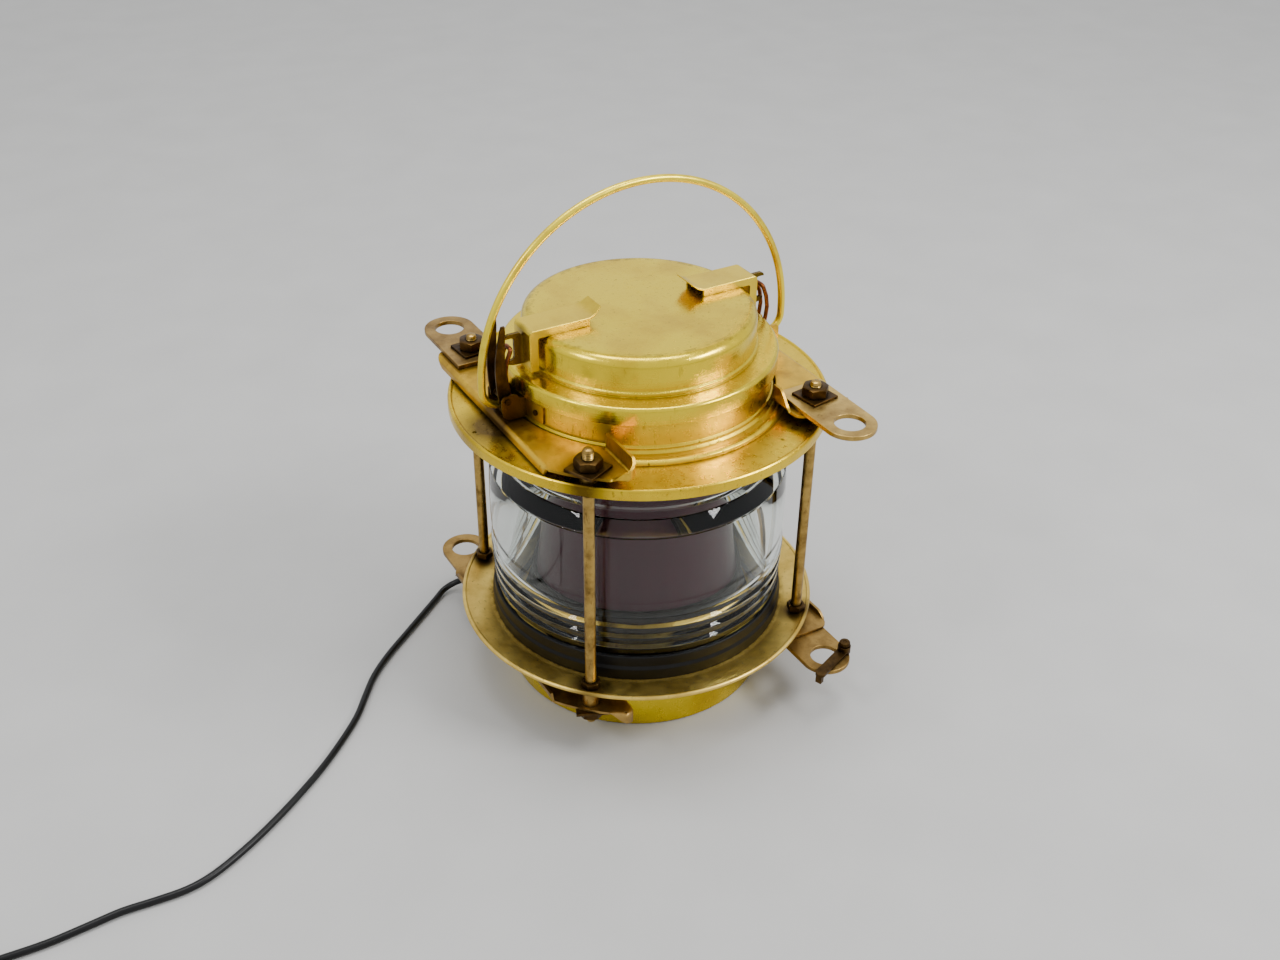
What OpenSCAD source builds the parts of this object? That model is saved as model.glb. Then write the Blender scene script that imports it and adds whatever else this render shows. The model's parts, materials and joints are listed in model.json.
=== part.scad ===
// Ship's hoisting lamp: a brass lantern with a dioptric glass between two round flanges,
// four guard rods, guide eyes for two hoisting wires, a lift-off lid and a swinging bail.
// The lamp stands on z = 0 with its axis on Z. The latches and the bail lie along X, the
// cross bars run along Y.

/* [Sheet and wire] */
// Thickness of the spun brass sheet
sheet_t = 1.6; // [1.2:0.2:2]
// Thickness of the cross bars
bar_t = 2; // [1.5:0.5:2.5]
// Thickness of the cast guide eyes
eye_t = 3.5; // [3:0.5:4]
// Running clearance on the radius of a pin or rod in its hole
run_clear = 0.08; // [0.04:0.02:0.1]
// Gap kept between pieces that must not touch
part_gap = 0.3; // [0.2:0.1:0.4]

/* [Base] */
// Outer radius of the base drum
drum_r = 101; // [99:0.5:102]
// Height of the base drum
drum_h = 54.4; // [52:0.4:60]
// Width of the turned-in foot of the drum
foot_w = 6; // [4:1:8]
// Height of the bottom plate above the floor
plate_z = 2; // [1.6:0.4:4]
// Outer radius of the lower flange at the middle of its rolled edge
dish_edge_r = 136.4; // [135:0.1:137]
// Radius of the rolled edge of the lower flange
dish_bead_r = 1.8; // [1.4:0.2:2.2]
// Radius at which the lower flange starts to rise
dish_flat_r = 116; // [115.5:0.5:118]
// Rise of the lower flange from its flat to its edge
dish_rise = 3.8; // [3:0.2:4.6]
// Radius of the opening in the lower flange
dish_hole_r = 88; // [84:1:90]

/* [Lens] */
// Height of the glass
lens_h = 172; // [168:2:180]
// Inner radius of the glass
lens_bore_r = 97; // [96:0.5:98]
// Outer radius of the glass at the middle of its belt
lens_belt_r = 112.6; // [112:0.2:113]
// Height of the smooth belt
belt_h = 66; // [62:1:68]
// Radius at the edge of the belt
belt_edge_r = 111.4; // [110.8:0.2:111.6]
// Number of prism rings below the belt, and of those above the shoulder
prism_count = 4; // [3:1:5]
// Radius at the foot of the lowest prism ring
prism_root_r = 109.2; // [108.6:0.2:109.6]
// Depth of a prism ring
prism_depth = 2; // [1.6:0.2:2.2]
// Height of the sloping shoulder above the belt
shoulder_h = 10.5; // [9:0.5:12]
// Radius of the glass above its shoulder
lens_neck_r = 102.4; // [102:0.2:103]
// Height of the plain upper end of the glass
lens_end_h = 4; // [3:0.5:5]
// Height of the plain foot of the glass, which stands in the rubber
lens_foot_h = 14; // [12:1:15]
// Thickness of the rubber under the glass
gasket_shelf = 6; // [5:0.5:7]
// Outer radius of the rubber under the glass
gasket_r = 113.6; // [113:0.1:115]
// Height of the thick collar at the foot of that rubber
gasket_collar_h = 9; // [8:0.5:10]
// Thickness of its lip round the foot of the glass
gasket_lip_t = 2.8; // [2.4:0.2:3.2]
// Thickness of the rubber above the glass
gasket_top_t = 2.5; // [2:0.5:3]

/* [Top] */
// Outer radius of the upper flange
flange_r = 138.5; // [137.5:0.25:139.5]
// Depth of the turned-down edge of the upper flange
flange_edge_h = 7; // [5:0.5:8]
// Outer radius of the neck
neck_r = 96; // [95:0.5:97]
// Height of the neck above the upper flange
neck_h = 37.4; // [36:0.2:40]
// Outer radius of the moulded ring at the foot of the neck
neck_ring_r = 108; // [107:0.5:109]
// Outer radius of the lid's cap
cap_r = 83.5; // [82:0.5:84]
// Height of the cap above its ledge
cap_h = 27.4; // [26:0.2:29]
// Radius of the cap's rounded shoulder
cap_round = 7; // [5:0.5:8]
// Outer radius of the lid's skirt
skirt_r = 99.5; // [99:0.25:100.5]
// Height of the lid's skirt
skirt_h = 13; // [11:0.5:14]

/* [Latches] */
// Width of a lid strap
strap_w = 24; // [22:1:26]
// Thickness of a lid strap
strap_t = 1.6; // [1.2:0.2:1.8]
// Height of the strap above the lid
strap_h = 6; // [5:0.2:6.4]
// Distance from the axis to the inner end of the strap's lips
strap_in_r = 46; // [42:1:50]
// Length of the turned-up tongue
tongue_l = 10; // [8:1:14]
// Distance from the axis to the outer face of the strap's leg
strap_out_r = 92; // [91:0.5:93]
// Distance from the axis to the top bar of the wire links
link_top_r = 102.5; // [102:0.25:103]
// Height of the top bar of the wire links above the lid's ledge
link_top_h = 19.9; // [19:0.1:20.5]
// Diameter of the link wire
link_d = 2.4; // [2.2:0.1:2.6]
// Distance of a link's leg from the middle of the latch
link_y = 4.2; // [4.1:0.1:4.3]
// Travel of the lid before its ears meet the links
lid_lift = 8; // [5:0.5:8.5]
// Thickness of the ear on a lid strap
ear_t = 2.5; // [2:0.25:3]
// Distance from the axis to the pivot of the latch lever
lever_r = 110; // [109.5:0.25:110.5]
// Height of the lever's pivot above the upper flange
lever_h = 23.9; // [23.7:0.1:24.2]
// Diameter of the latch pins
latch_pin_d = 2.6; // [2.4:0.1:2.8]
// Thickness of the two plates of the latch lever
lever_t = 1.6; // [1.4:0.2:1.8]
// Half the width between the two plates of the lever
lever_y = 5.8; // [5.7:0.1:6]
// Height of the lever above its pivot
lever_l = 55; // [50:1:56]
// Half the outer width of a latch bracket
bracket_y = 11.6; // [11:0.2:12]
// Diameter of the rivets that hold the brackets
rivet_d = 4; // [3:0.5:4.5]

/* [Bail] */
// Diameter of the bail wire
bail_d = 5.5; // [5:0.1:5.6]
// Radius of the bail's arch
bail_r = 123.5; // [123:0.25:125]
// Height of the bail's pivot above the upper flange
bail_pivot_h = 16.9; // [16.7:0.1:17.1]
// Radius of the bend above each foot of the bail
bail_bend_r = 13.5; // [12.5:0.5:13.5]
// Height of the middle of the arch above the bail's pivot
bail_mid_h = 17; // [15:0.5:20]

/* [Cage] */
// Distance of the guard rods from the axis
rod_circle_r = 128.4; // [127.8:0.1:129]
// Diameter of a guard rod
rod_d = 8; // [7:0.5:8]
// Width of a nut across its flats
nut_af = 17; // [15:0.5:17]
// Height of a nut
nut_h = 7; // [6:0.5:7.5]
// Side of a square washer
washer_w = 23; // [20:1:24]
// Thickness of a washer
washer_t = 2; // [1.5:0.5:2.5]
// Gap between a flange and the cross bar outside it
bar_gap = 6.4; // [6:0.2:7]
// Gap between the lower flange and the cross bar under it
low_bar_gap = 10; // [8:0.5:12]
// Half the width of a cross bar
bar_half_w = 24.5; // [24:0.5:25]
// How far the outer edge of a cross bar is folded towards the flange
outer_lip_h = 4.5; // [3:0.5:5]
// Radius to which the short end of a cross bar is trimmed
bar_trim_r = 138.5; // [138:0.5:139.5]
// Length of the long end of a cross bar from the middle
bar_long = 106; // [104:1:108]
// Height of the folded lip of a cross bar
lip_h = 12; // [10:0.5:12.5]
// Distance of a guide eye from the latch line
eye_y = 131.5; // [129:0.5:133]
// Radius of the hole in a guide eye
eye_bore_r = 11; // [10:0.5:11.5]
// Width of the metal round the hole of a guide eye
eye_wall = 8; // [7.5:0.5:9]

/* [Electrical] */
// Height of the glass sleeve round the lamp
sleeve_h = 116; // [110:2:120]
// Outer radius of the sleeve
sleeve_r = 78; // [66:1:80]
// Thickness of the sleeve
sleeve_t = 3; // [2.5:0.5:3.5]
// Height of the sleeve's seat above the tray
seat_h = 38; // [34:1:40]
// Diameter of the lampholder
holder_d = 38; // [36:1:42]
// Height of the lampholder
holder_h = 52; // [48:1:56]
// Diameter of the lamp bulb
bulb_d = 60; // [56:1:64]
// Diameter of the mains cord
cord_d = 5.2; // [5:0.1:5.4]
// Height of the cord's outlet above the floor
gland_z = 16; // [15:0.5:17]

/* [Hidden] */

big = 400;
fine = 96;

// Heights, stacked from the floor
z_plate_top = plate_z + sheet_t;
z_dish = drum_h;
z_dish_top = z_dish + sheet_t;
z_lens = z_dish_top + gasket_shelf;
z_lens_top = z_lens + lens_h;
z_flange = z_lens_top + gasket_top_t;
z_flange_top = z_flange + sheet_t;
z_neck_top = z_flange_top + neck_h;
z_ledge = z_neck_top + sheet_t;
z_skirt = z_ledge - skirt_h;
z_cap = z_ledge + cap_h;
z_strap = z_cap + strap_h;
z_link = z_ledge + link_top_h;
z_lever = z_flange_top + lever_h;
z_pivot = z_flange_top + bail_pivot_h;
z_bar = z_flange_top + bar_gap;
z_bar_top = z_bar + bar_t;
z_eye_top = z_bar_top + eye_t;
z_low_bar_top = z_dish - low_bar_gap;
z_low_bar = z_low_bar_top - bar_t;
z_low_eye = z_low_bar - eye_t;

// Places
rod_x = rod_circle_r * cos(45);
bar_in = rod_x - bar_half_w;
bar_out = rod_x + bar_half_w;
rod_hole_r = rod_d / 2 + run_clear;
nut_r = nut_af / 2 / cos(30);
plate_r = drum_r - sheet_t - part_gap;
foot_in_r = drum_r - foot_w;
dish_edge_z = z_dish + dish_rise + sheet_t / 2;

// The four rods: [x, y, true where a guide eye sits]
RODS = [[-1, -1, false], [1, -1, true], [1, 1, false], [-1, 1, true]];

brass = "#c9a53c";
brass_dark = "#7a5f2e";
rubber = "#1c1d1f";

module revolve(points) rotate_extrude($fn = fine) polygon(points);

module at_rods() for (p = RODS) translate([p[0] * rod_x, p[1] * rod_x, 0]) children();

module rod_holes(r, z, h) at_rods() translate([0, 0, z - 1]) cylinder(r = r, h = h + 2, $fn = 32);

module hex(r, h, hole_r) difference() {
  cylinder(r = r, h = h, $fn = 6);
  translate([0, 0, -1]) cylinder(r = hole_r, h = h + 2, $fn = 32);
}

// Base

gland_dir = [-0.6, 0.8];
gland_az = atan2(gland_dir[1], gland_dir[0]);
gland_hole_r = 6;
gland_hex_r = 9;

module radial(az, z) rotate([0, 0, az]) translate([0, 0, z]) rotate([0, 90, 0]) children();

module base_drum() color(brass) difference() {
  revolve([
    [foot_in_r, 0], [drum_r - 1.2, 0], [drum_r, 1.2], [drum_r, z_dish],
    [drum_r - sheet_t, z_dish], [drum_r - sheet_t, plate_z], [foot_in_r, plate_z]
  ]);
  radial(gland_az, gland_z) cylinder(r = gland_hole_r + run_clear, h = big, $fn = 32);
  for (a = SCREW_AT) rotate([0, 0, a]) translate([screw_r, 0, -1])
    cylinder(r = screw_d / 2 + run_clear, h = plate_z + 2, $fn = 24);
}

screw_d = 3;
screw_up = 0.4;
screw_head_r = 2;
screw_head_h = 2;
screw_r = foot_in_r + foot_w / 2 - sheet_t / 2;
SCREW_AT = [30, 150, 270];

module base_plate() color(brass_dark) difference() {
  translate([0, 0, plate_z]) cylinder(r = plate_r, h = sheet_t, $fn = fine);
  for (a = SCREW_AT) rotate([0, 0, a]) translate([screw_r, 0, 0])
    cylinder(r = screw_d / 2 + run_clear, h = big, $fn = 24);
}

module base_screws() color(brass_dark) for (a = SCREW_AT) rotate([0, 0, a])
  translate([screw_r, 0, 0]) {
    translate([0, 0, screw_up]) cylinder(r = screw_d / 2, h = z_plate_top - screw_up, $fn = 24);
    translate([0, 0, z_plate_top]) cylinder(r = screw_head_r, h = screw_head_h, $fn = 24);
  }

// The lower flange rises gently to a rolled edge and carries the rods
module lower_flange() color(brass) difference() {
  rotate_extrude($fn = fine) union() {
    polygon([
      [dish_hole_r, z_dish], [dish_flat_r, z_dish], [dish_edge_r, z_dish + dish_rise],
      [dish_edge_r, z_dish + dish_rise + sheet_t], [dish_flat_r, z_dish_top],
      [dish_hole_r, z_dish_top]
    ]);
    translate([dish_edge_r, dish_edge_z]) circle(r = dish_bead_r, $fn = 32);
  }
  rod_holes(rod_hole_r, z_dish, dish_rise + 2 * sheet_t);
}

// Lens and its rubbers

lens_seat_r = prism_root_r + part_gap;
gasket_lip_r = lens_seat_r + gasket_lip_t;
gasket_collar_z = z_dish_top + gasket_collar_h;

module lens_gasket_lower() color(rubber) revolve([
  [lens_bore_r, z_dish_top], [gasket_r, z_dish_top], [gasket_r, gasket_collar_z],
  [gasket_lip_r, gasket_collar_z + 2 * (gasket_r - gasket_lip_r)],
  [gasket_lip_r, z_lens + lens_foot_h], [lens_seat_r, z_lens + lens_foot_h],
  [lens_seat_r, z_lens], [lens_bore_r, z_lens]
]);

module lens_gasket_upper() color(rubber) revolve([
  [lens_bore_r, z_lens_top], [lens_neck_r + 3, z_lens_top],
  [lens_neck_r + 3, z_flange], [lens_bore_r, z_flange]
]);

lower_zone = (lens_h - belt_h) / 2 - lens_foot_h;
upper_zone = (lens_h - belt_h) / 2 - lens_end_h - shoulder_h;
prism_rise = (belt_edge_r - prism_root_r) / prism_count;
belt_steps = 12;

// Notch and ridge of each prism ring, from one end of the glass towards the belt
function prism_rings(root_r, rise, start, zone) = let (pitch = zone / prism_count)
  [for (i = [0:prism_count - 1]) each [
    [root_r + rise * i, start + pitch * i],
    [root_r + rise * i + prism_depth, start + pitch * (i + 0.82)]
  ]];

belt_sag = lens_belt_r - belt_edge_r;
belt_arc_r = (pow(belt_h / 2, 2) + pow(belt_sag, 2)) / (2 * belt_sag);
belt_half = [for (i = [0:belt_steps]) let (h = belt_h / 2 * (1 - i / belt_steps))
  [lens_belt_r - belt_arc_r + sqrt(pow(belt_arc_r, 2) - h * h), lens_h / 2 - h]];
lower_half = concat([[prism_root_r, 0]],
  prism_rings(prism_root_r, prism_rise, lens_foot_h, lower_zone), belt_half);

// The upper half is measured down from its end, then turned over
upper_end = concat([[lens_neck_r, 0]], prism_rings(lens_neck_r, 0, lens_end_h, upper_zone),
  [[lens_neck_r, lens_end_h + upper_zone]], belt_half);
upper_half = [for (i = [len(upper_end) - 2:-1:0]) [upper_end[i][0], lens_h - upper_end[i][1]]];

module lens() color("#dfe8e4", 0.4) translate([0, 0, z_lens])
  revolve(concat([[lens_bore_r, 0]], lower_half, upper_half, [[lens_bore_r, lens_h]]));

// Top

flange_hole_r = neck_r - sheet_t - 1.4;
edge_low_z = z_flange_top - flange_edge_h;

module upper_flange() color(brass) difference() {
  revolve([
    [flange_hole_r, z_flange], [flange_r - 3.4, z_flange], [flange_r - 2.4, z_flange + 0.4],
    [flange_r - sheet_t, z_flange - 1], [flange_r - sheet_t, edge_low_z],
    [flange_r, edge_low_z], [flange_r, z_flange_top - 1.2], [flange_r - 0.3, z_flange_top + 0.2],
    [flange_r - 1.3, z_flange_top + 1.2], [flange_r - 2.5, z_flange_top + 1],
    [flange_r - 3.5, z_flange_top], [flange_hole_r, z_flange_top]
  ]);
  rod_holes(rod_hole_r, z_flange, 2 * sheet_t);
  rotate([0, 0, 180]) translate([flange_r - 7.7, 0, z_flange - 1])
    cylinder(r = 1.6, h = 2 * sheet_t + 1, $fn = 24);
}

// Neck with a fine line and a moulded ring at its foot
module neck() color(brass) translate([0, 0, z_flange_top]) difference() {
  revolve([
    [neck_r - sheet_t, 0], [neck_ring_r, 0], [neck_ring_r + 0.4, 1.2], [neck_ring_r, 2.8],
    [neck_ring_r - 1.6, 3.9], [neck_ring_r - 3.6, 4.2], [neck_ring_r - 5, 3.6],
    [neck_r + 3, 4.2], [neck_r + 1.2, 5.8], [neck_r + 1.2, 6.8], [neck_r + 1.6, 7.4],
    [neck_r + 1.2, 8.2], [neck_r, 9], [neck_r, neck_h], [neck_r - sheet_t, neck_h]
  ]);
  for (side = [0, 180]) rotate([0, 0, side]) for (s = [-1, 1]) rotate([0, 0, s * rivet_az])
    translate([neck_r - 4, 0, rivet_h]) rotate([0, 90, 0])
      cylinder(r = rivet_d / 4 + run_clear, h = 8, $fn = 24);
}

// The spun lid: cap, ledge and skirt in one sheet
shoulder = [for (a = [0:15:90])
  [cap_r - cap_round + cap_round * sin(a), z_cap - cap_round + cap_round * cos(a)]];
inner_round = cap_round - sheet_t;
shoulder_in = [for (a = [90:-15:0]) [
  cap_r - cap_round + inner_round * sin(a), z_cap - cap_round + inner_round * cos(a)]];
skirt_round = 2.4;

module lid() color(brass) revolve(concat(
  [[0, z_cap]], shoulder,
  [
    [cap_r, z_ledge + 3.4], [cap_r + 1, z_ledge + 2.8], [cap_r + 1.2, z_ledge + 1.8],
    [cap_r + 0.6, z_ledge + 1], [skirt_r - skirt_round - 1.2, z_ledge],
    [skirt_r - skirt_round + 1, z_ledge - 0.5], [skirt_r - 0.5, z_ledge - skirt_round + 0.6],
    [skirt_r, z_ledge - skirt_round - 0.6], [skirt_r, z_skirt],
    [skirt_r - sheet_t, z_skirt], [skirt_r - sheet_t, z_neck_top],
    [cap_r - sheet_t, z_neck_top]
  ],
  shoulder_in, [[0, z_cap - sheet_t]]
));

// Latches, drawn on the +X side; the left ones are turned half round

module right_or_left(side) rotate([0, 0, side == "left" ? 180 : 0]) children();

// Plate lying in the plane of the latch, drawn as [distance from axis, height]
module upright(points, y0, y1) translate([0, y1, 0]) rotate([90, 0, 0])
  linear_extrude(y1 - y0) polygon(points);

leg_bottom = z_ledge + 3;
tongue_rise = 5.5;
lip_in = strap_out_r - 6.4;

strap_line = [
  [strap_in_r - tongue_l, z_strap + tongue_rise - 1], [strap_in_r - tongue_l, z_strap + tongue_rise],
  [strap_in_r - tongue_l / 2, z_strap + tongue_rise * 0.32], [strap_in_r, z_strap],
  [strap_out_r - 3, z_strap], [strap_out_r - 0.9, z_strap - 0.9], [strap_out_r, z_strap - 3],
  [strap_out_r, leg_bottom], [strap_out_r - strap_t, leg_bottom],
  [strap_out_r - strap_t, z_strap - 3], [strap_out_r - 3, z_strap - strap_t],
  [strap_in_r, z_strap - strap_t],
  [strap_in_r - tongue_l / 2, z_strap + tongue_rise * 0.32 - strap_t]
];
lip_line = [
  [strap_in_r, z_strap], [strap_out_r - 3, z_strap], [strap_out_r, z_strap - 3],
  [strap_out_r, leg_bottom], [lip_in, leg_bottom], [lip_in, z_cap - 1],
  [lip_in - 1, z_cap], [strap_in_r, z_cap]
];

// Ear of a strap: a rounded plate with a long slot, open outwards, for the bar of the link
ear_in_r = strap_out_r - strap_t;
ear_out_r = link_top_r + 2.5;
slot_in_r = link_top_r - 4;
slot_up = 6.5;
slot_down = lid_lift + 2;
ear_arm = 3;
ear_line = [
  [ear_in_r, z_link - slot_down - ear_arm - 1.5], [ear_in_r, z_link + slot_up - 2],
  [ear_in_r + 4, z_link + slot_up + ear_arm], [ear_out_r - 2.5, z_link + slot_up + ear_arm],
  [ear_out_r - 0.6, z_link + slot_up + ear_arm - 1], [ear_out_r, z_link + slot_up + 1],
  [ear_out_r, z_link + slot_up], [slot_in_r + 2, z_link + slot_up],
  [slot_in_r + 0.6, z_link + slot_up - 0.6], [slot_in_r, z_link + slot_up - 2],
  [slot_in_r, z_link - slot_down + 2], [slot_in_r + 0.6, z_link - slot_down + 0.6],
  [slot_in_r + 2, z_link - slot_down], [ear_out_r, z_link - slot_down],
  [ear_out_r, z_link - slot_down - 1], [ear_out_r - 2, z_link - slot_down - ear_arm],
  [ear_out_r - 5, z_link - slot_down - ear_arm - 1]
];

module strap(side) color(brass) right_or_left(side) {
  upright(strap_line, -strap_w / 2, strap_w / 2);
  for (y = [-strap_w / 2, strap_w / 2 - strap_t]) upright(lip_line, y, y + strap_t);
  upright(ear_line, -ear_t / 2, ear_t / 2);
}

// Round wire through hand-set points; a slightly larger ball closes each bend
module wire(points, d) for (i = [0:len(points) - 1]) {
  translate(points[i]) sphere(r = d / 2 + 0.04, $fn = 24);
  if (i > 0) let (a = points[i - 1], b = points[i], v = b - a)
    translate(a) rotate([0, acos(v[2] / norm(v)), atan2(v[1], v[0])])
      cylinder(r = d / 2, h = norm(v), $fn = 24);
}

// The left link hangs on the lever, the right one on a pin of its bracket
lever_arm = [-5.4, -2.6];
link_foot_left = [lever_r + lever_arm[0], z_lever + lever_arm[1]];
link_foot_right = [lever_r - 4.8, z_lever + 1.2];
bow = [
  [skirt_r + 7.3, z_skirt + 8], [skirt_r + 8, z_skirt + 15], [skirt_r + 6.6, z_link - 9],
  [link_top_r, z_link]
];

module link_loop(foot) {
  legs = concat([foot], bow);
  for (s = [-1, 1]) wire([for (p = legs) [p[0], s * link_y, p[1]]], link_d);
  translate([link_top_r, link_y, z_link]) rotate([90, 0, 0])
    cylinder(r = link_d / 2, h = 2 * link_y, $fn = 24);
}

module link(side) color("#7d5a2c") right_or_left(side)
  if (side == "left") {
    link_loop(link_foot_left);
    for (s = [-1, 1]) translate([link_foot_left[0], s * link_y, link_foot_left[1]])
      rotate([-90 * s, 0, 0]) cylinder(r = link_d / 2, h = lever_y + lever_t + 0.4 - link_y, $fn = 24);
  } else difference() {
    union() {
      link_loop(link_foot_right);
      for (s = [-1, 1]) translate([link_foot_right[0], s * link_y, link_foot_right[1]])
        rotate([90, 0, 0]) cylinder(r = eyelet_r, h = link_d + 0.2, center = true, $fn = 32);
    }
    translate([link_foot_right[0], 0, link_foot_right[1]]) rotate([90, 0, 0])
      cylinder(r = latch_pin_d / 2 + run_clear, h = big, center = true, $fn = 24);
  }

eyelet_r = latch_pin_d / 2 + 1.5;

// Latch lever: two curved plates on a common tube, wide enough apart for the bail
tube_r = latch_pin_d / 2 + 1;
lever_line = [
  [4.4, 0], [5.6, 10], [6, 22], [5.4, 32], [3.6, 42], [1.2, lever_l - 2.5], [0.2, lever_l],
  [-2.4, lever_l], [-2.6, lever_l - 5], [-2, 41], [-1.6, 30], [-2.2, 18], [-3.6, 8], [-4.6, 0]
];

module latch_lever() color("#5e4a22") right_or_left("left") translate([lever_r, 0, z_lever])
  difference() {
    union() {
      for (y = [-lever_y - lever_t, lever_y]) {
        upright(lever_line, y, y + lever_t);
        translate([0, y, 0]) rotate([-90, 0, 0]) cylinder(r = 4.6, h = lever_t, $fn = 48);
        translate([lever_arm[0], y, lever_arm[1]]) rotate([-90, 0, 0])
          cylinder(r = 2.6, h = lever_t, $fn = 32);
      }
      rotate([90, 0, 0]) cylinder(r = tube_r, h = 2 * lever_y + 1, center = true, $fn = 32);
    }
    rotate([90, 0, 0]) cylinder(r = latch_pin_d / 2 + run_clear, h = big, center = true, $fn = 24);
    translate([lever_arm[0], 0, lever_arm[1]]) rotate([90, 0, 0])
      cylinder(r = link_d / 2 + run_clear, h = big, center = true, $fn = 24);
  }

// Brackets on the neck: two cheeks, a floor, a web for the foot of the bail, two wings
bracket_z = z_bar_top + 0.8;
wing_az = 18;
wing_gap = 0.08;
wing_z = z_flange_top + 11;
wing_top = z_skirt - 1.6;
rivet_az = 13.8;
rivet_h = 17.4;
web_r = lever_r - 3;
web_t = 2.4;
tab_y = 5.2;
cheek_line = [
  [neck_r + 0.4, wing_z], [neck_r + 1.5, bracket_z], [lever_r - 1, bracket_z],
  [lever_r + 3, bracket_z + 3], [lever_r + 4.4, bracket_z + 8.4],
  [lever_r + 4.2, z_lever + 1.6], [lever_r + 2, z_lever + 4], [lever_r - 1.4, z_lever + 4],
  [lever_r - 4, z_lever + 4.6], [lever_r - 7.6, z_lever + 3.4], [lever_r - 9, wing_top + 0.6],
  [neck_r + 0.4, wing_top]
];
latch_pin_l = 2 * bracket_y + 1.2;

module sector(r0, r1, z0, z1, a0, a1) rotate_extrude(angle = a1 - a0, start = a0, $fn = fine)
  translate([r0, z0]) square([r1 - r0, z1 - z0]);

module bracket(side) color("#a98435") right_or_left(side) {
  cheek_in = bracket_y - sheet_t;
  cheek_az = asin(cheek_in / (neck_r + sheet_t));
  pin_at = side == "left" ? [lever_r, z_lever] : link_foot_right;
  difference() {
    union() {
      for (y = [-bracket_y, cheek_in]) upright(cheek_line, y, y + sheet_t);
      for (a = [[-wing_az, -cheek_az], [cheek_az, wing_az]])
        sector(neck_r + wing_gap, neck_r + sheet_t, wing_z, wing_top, a[0], a[1]);
      translate([web_r - 6, -cheek_in - 0.1, bracket_z])
        cube([web_t + 6, 2 * cheek_in + 0.2, sheet_t]);
      translate([web_r, -cheek_in - 0.1, bracket_z])
        cube([web_t, 2 * cheek_in + 0.2, 7.4]);
      translate([web_r, -tab_y, bracket_z]) cube([web_t, 2 * tab_y, 11.7]);
    }
    translate([web_r - 10, 0, z_pivot]) rotate([0, 90, 0])
      cylinder(r = bail_d / 2 + run_clear, h = 30, $fn = 32);
    translate([pin_at[0], 0, pin_at[1]]) rotate([90, 0, 0])
      cylinder(r = latch_pin_d / 2 + run_clear, h = big, center = true, $fn = 24);
    for (s = [-1, 1]) rotate([0, 0, s * rivet_az])
      translate([neck_r - 4, 0, z_flange_top + rivet_h]) rotate([0, 90, 0])
        cylinder(r = rivet_d / 4 + run_clear, h = 12, $fn = 24);
  }
}

module latch_pin(side) color(brass_dark) right_or_left(side) {
  pin_at = side == "left" ? [lever_r, z_lever] : link_foot_right;
  translate([pin_at[0], 0, pin_at[1]]) rotate([90, 0, 0]) {
    cylinder(r = latch_pin_d / 2, h = latch_pin_l, center = true, $fn = 24);
    for (s = [-1, 1]) translate([0, 0, s * (bracket_y + 0.6)])
      cylinder(r = latch_pin_d / 2 + 0.9, h = 1, center = true, $fn = 32);
  }
}

module bracket_rivets() color(brass_dark) for (side = [0, 180]) rotate([0, 0, side])
  for (s = [-1, 1]) rotate([0, 0, s * rivet_az]) translate([0, 0, z_flange_top + rivet_h])
    rotate([0, 90, 0]) {
      translate([0, 0, neck_r - sheet_t - 0.6])
        cylinder(r = rivet_d / 4, h = 2 * sheet_t + 0.7, $fn = 24);
      translate([0, 0, neck_r + sheet_t]) cylinder(r = rivet_d / 2, h = 1, $fn = 24);
      translate([0, 0, neck_r - sheet_t - 1.4]) cylinder(r = rivet_d / 2, h = 1, $fn = 24);
    }

// Bail: an arch of round wire whose feet turn inwards through the bracket webs
foot_in = web_r - 2.6;
foot_head_r = 3.8;
foot_head_l = 1.6;
bail_foot_r = bail_r - bail_bend_r;
bail_mid_z = z_pivot + bail_mid_h;

module bail_arc(r, x, z, a0, a1) translate([x, 0, z]) rotate([90, 0, 0])
  rotate_extrude(angle = a1 - a0, start = a0, $fn = fine) translate([r, 0])
    circle(r = bail_d / 2, $fn = 32);

module bail() color(brass) {
  bail_arc(bail_r, 0, bail_mid_z, 0, 180);
  for (s = [0, 180]) rotate([0, 0, s]) {
    translate([bail_r, 0, z_pivot + bail_bend_r])
      cylinder(r = bail_d / 2, h = bail_mid_h - bail_bend_r, $fn = 32);
    bail_arc(bail_bend_r, bail_foot_r, z_pivot + bail_bend_r, 270, 360);
    translate([foot_in, 0, z_pivot]) rotate([0, 90, 0])
      cylinder(r = bail_d / 2, h = bail_foot_r - foot_in, $fn = 32);
    translate([foot_in, 0, z_pivot]) rotate([0, 90, 0])
      cylinder(r = foot_head_r, h = foot_head_l, $fn = 32);
  }
}

// Cage

nut_stack = washer_t + nut_h;
rod_tip = 4;
z_rod_top = z_eye_top + nut_stack + rod_tip;
z_rod_bottom = z_low_eye - nut_stack - rod_tip;

module guard_rods() color(brass_dark) at_rods() {
  translate([0, 0, z_rod_bottom + 1]) cylinder(r = rod_d / 2, h = z_rod_top - z_rod_bottom - 2, $fn = 32);
  translate([0, 0, z_rod_bottom]) cylinder(r1 = rod_d / 2 - 1, r2 = rod_d / 2, h = 1, $fn = 32);
  translate([0, 0, z_rod_top - 1]) cylinder(r1 = rod_d / 2, r2 = rod_d / 2 - 1, h = 1, $fn = 32);
}

spacer_r = 6.4;
dish_low_z = z_dish + dish_rise * max(0, rod_circle_r - spacer_r - dish_flat_r)
  / (dish_edge_r - dish_flat_r);
dish_high_z = z_dish_top + dish_rise;

module spacer(z0, z1) translate([0, 0, z0]) difference() {
  cylinder(r = spacer_r, h = z1 - z0, $fn = 32);
  translate([0, 0, -1]) cylinder(r = rod_hole_r, h = z1 - z0 + 2, $fn = 32);
}

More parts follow.
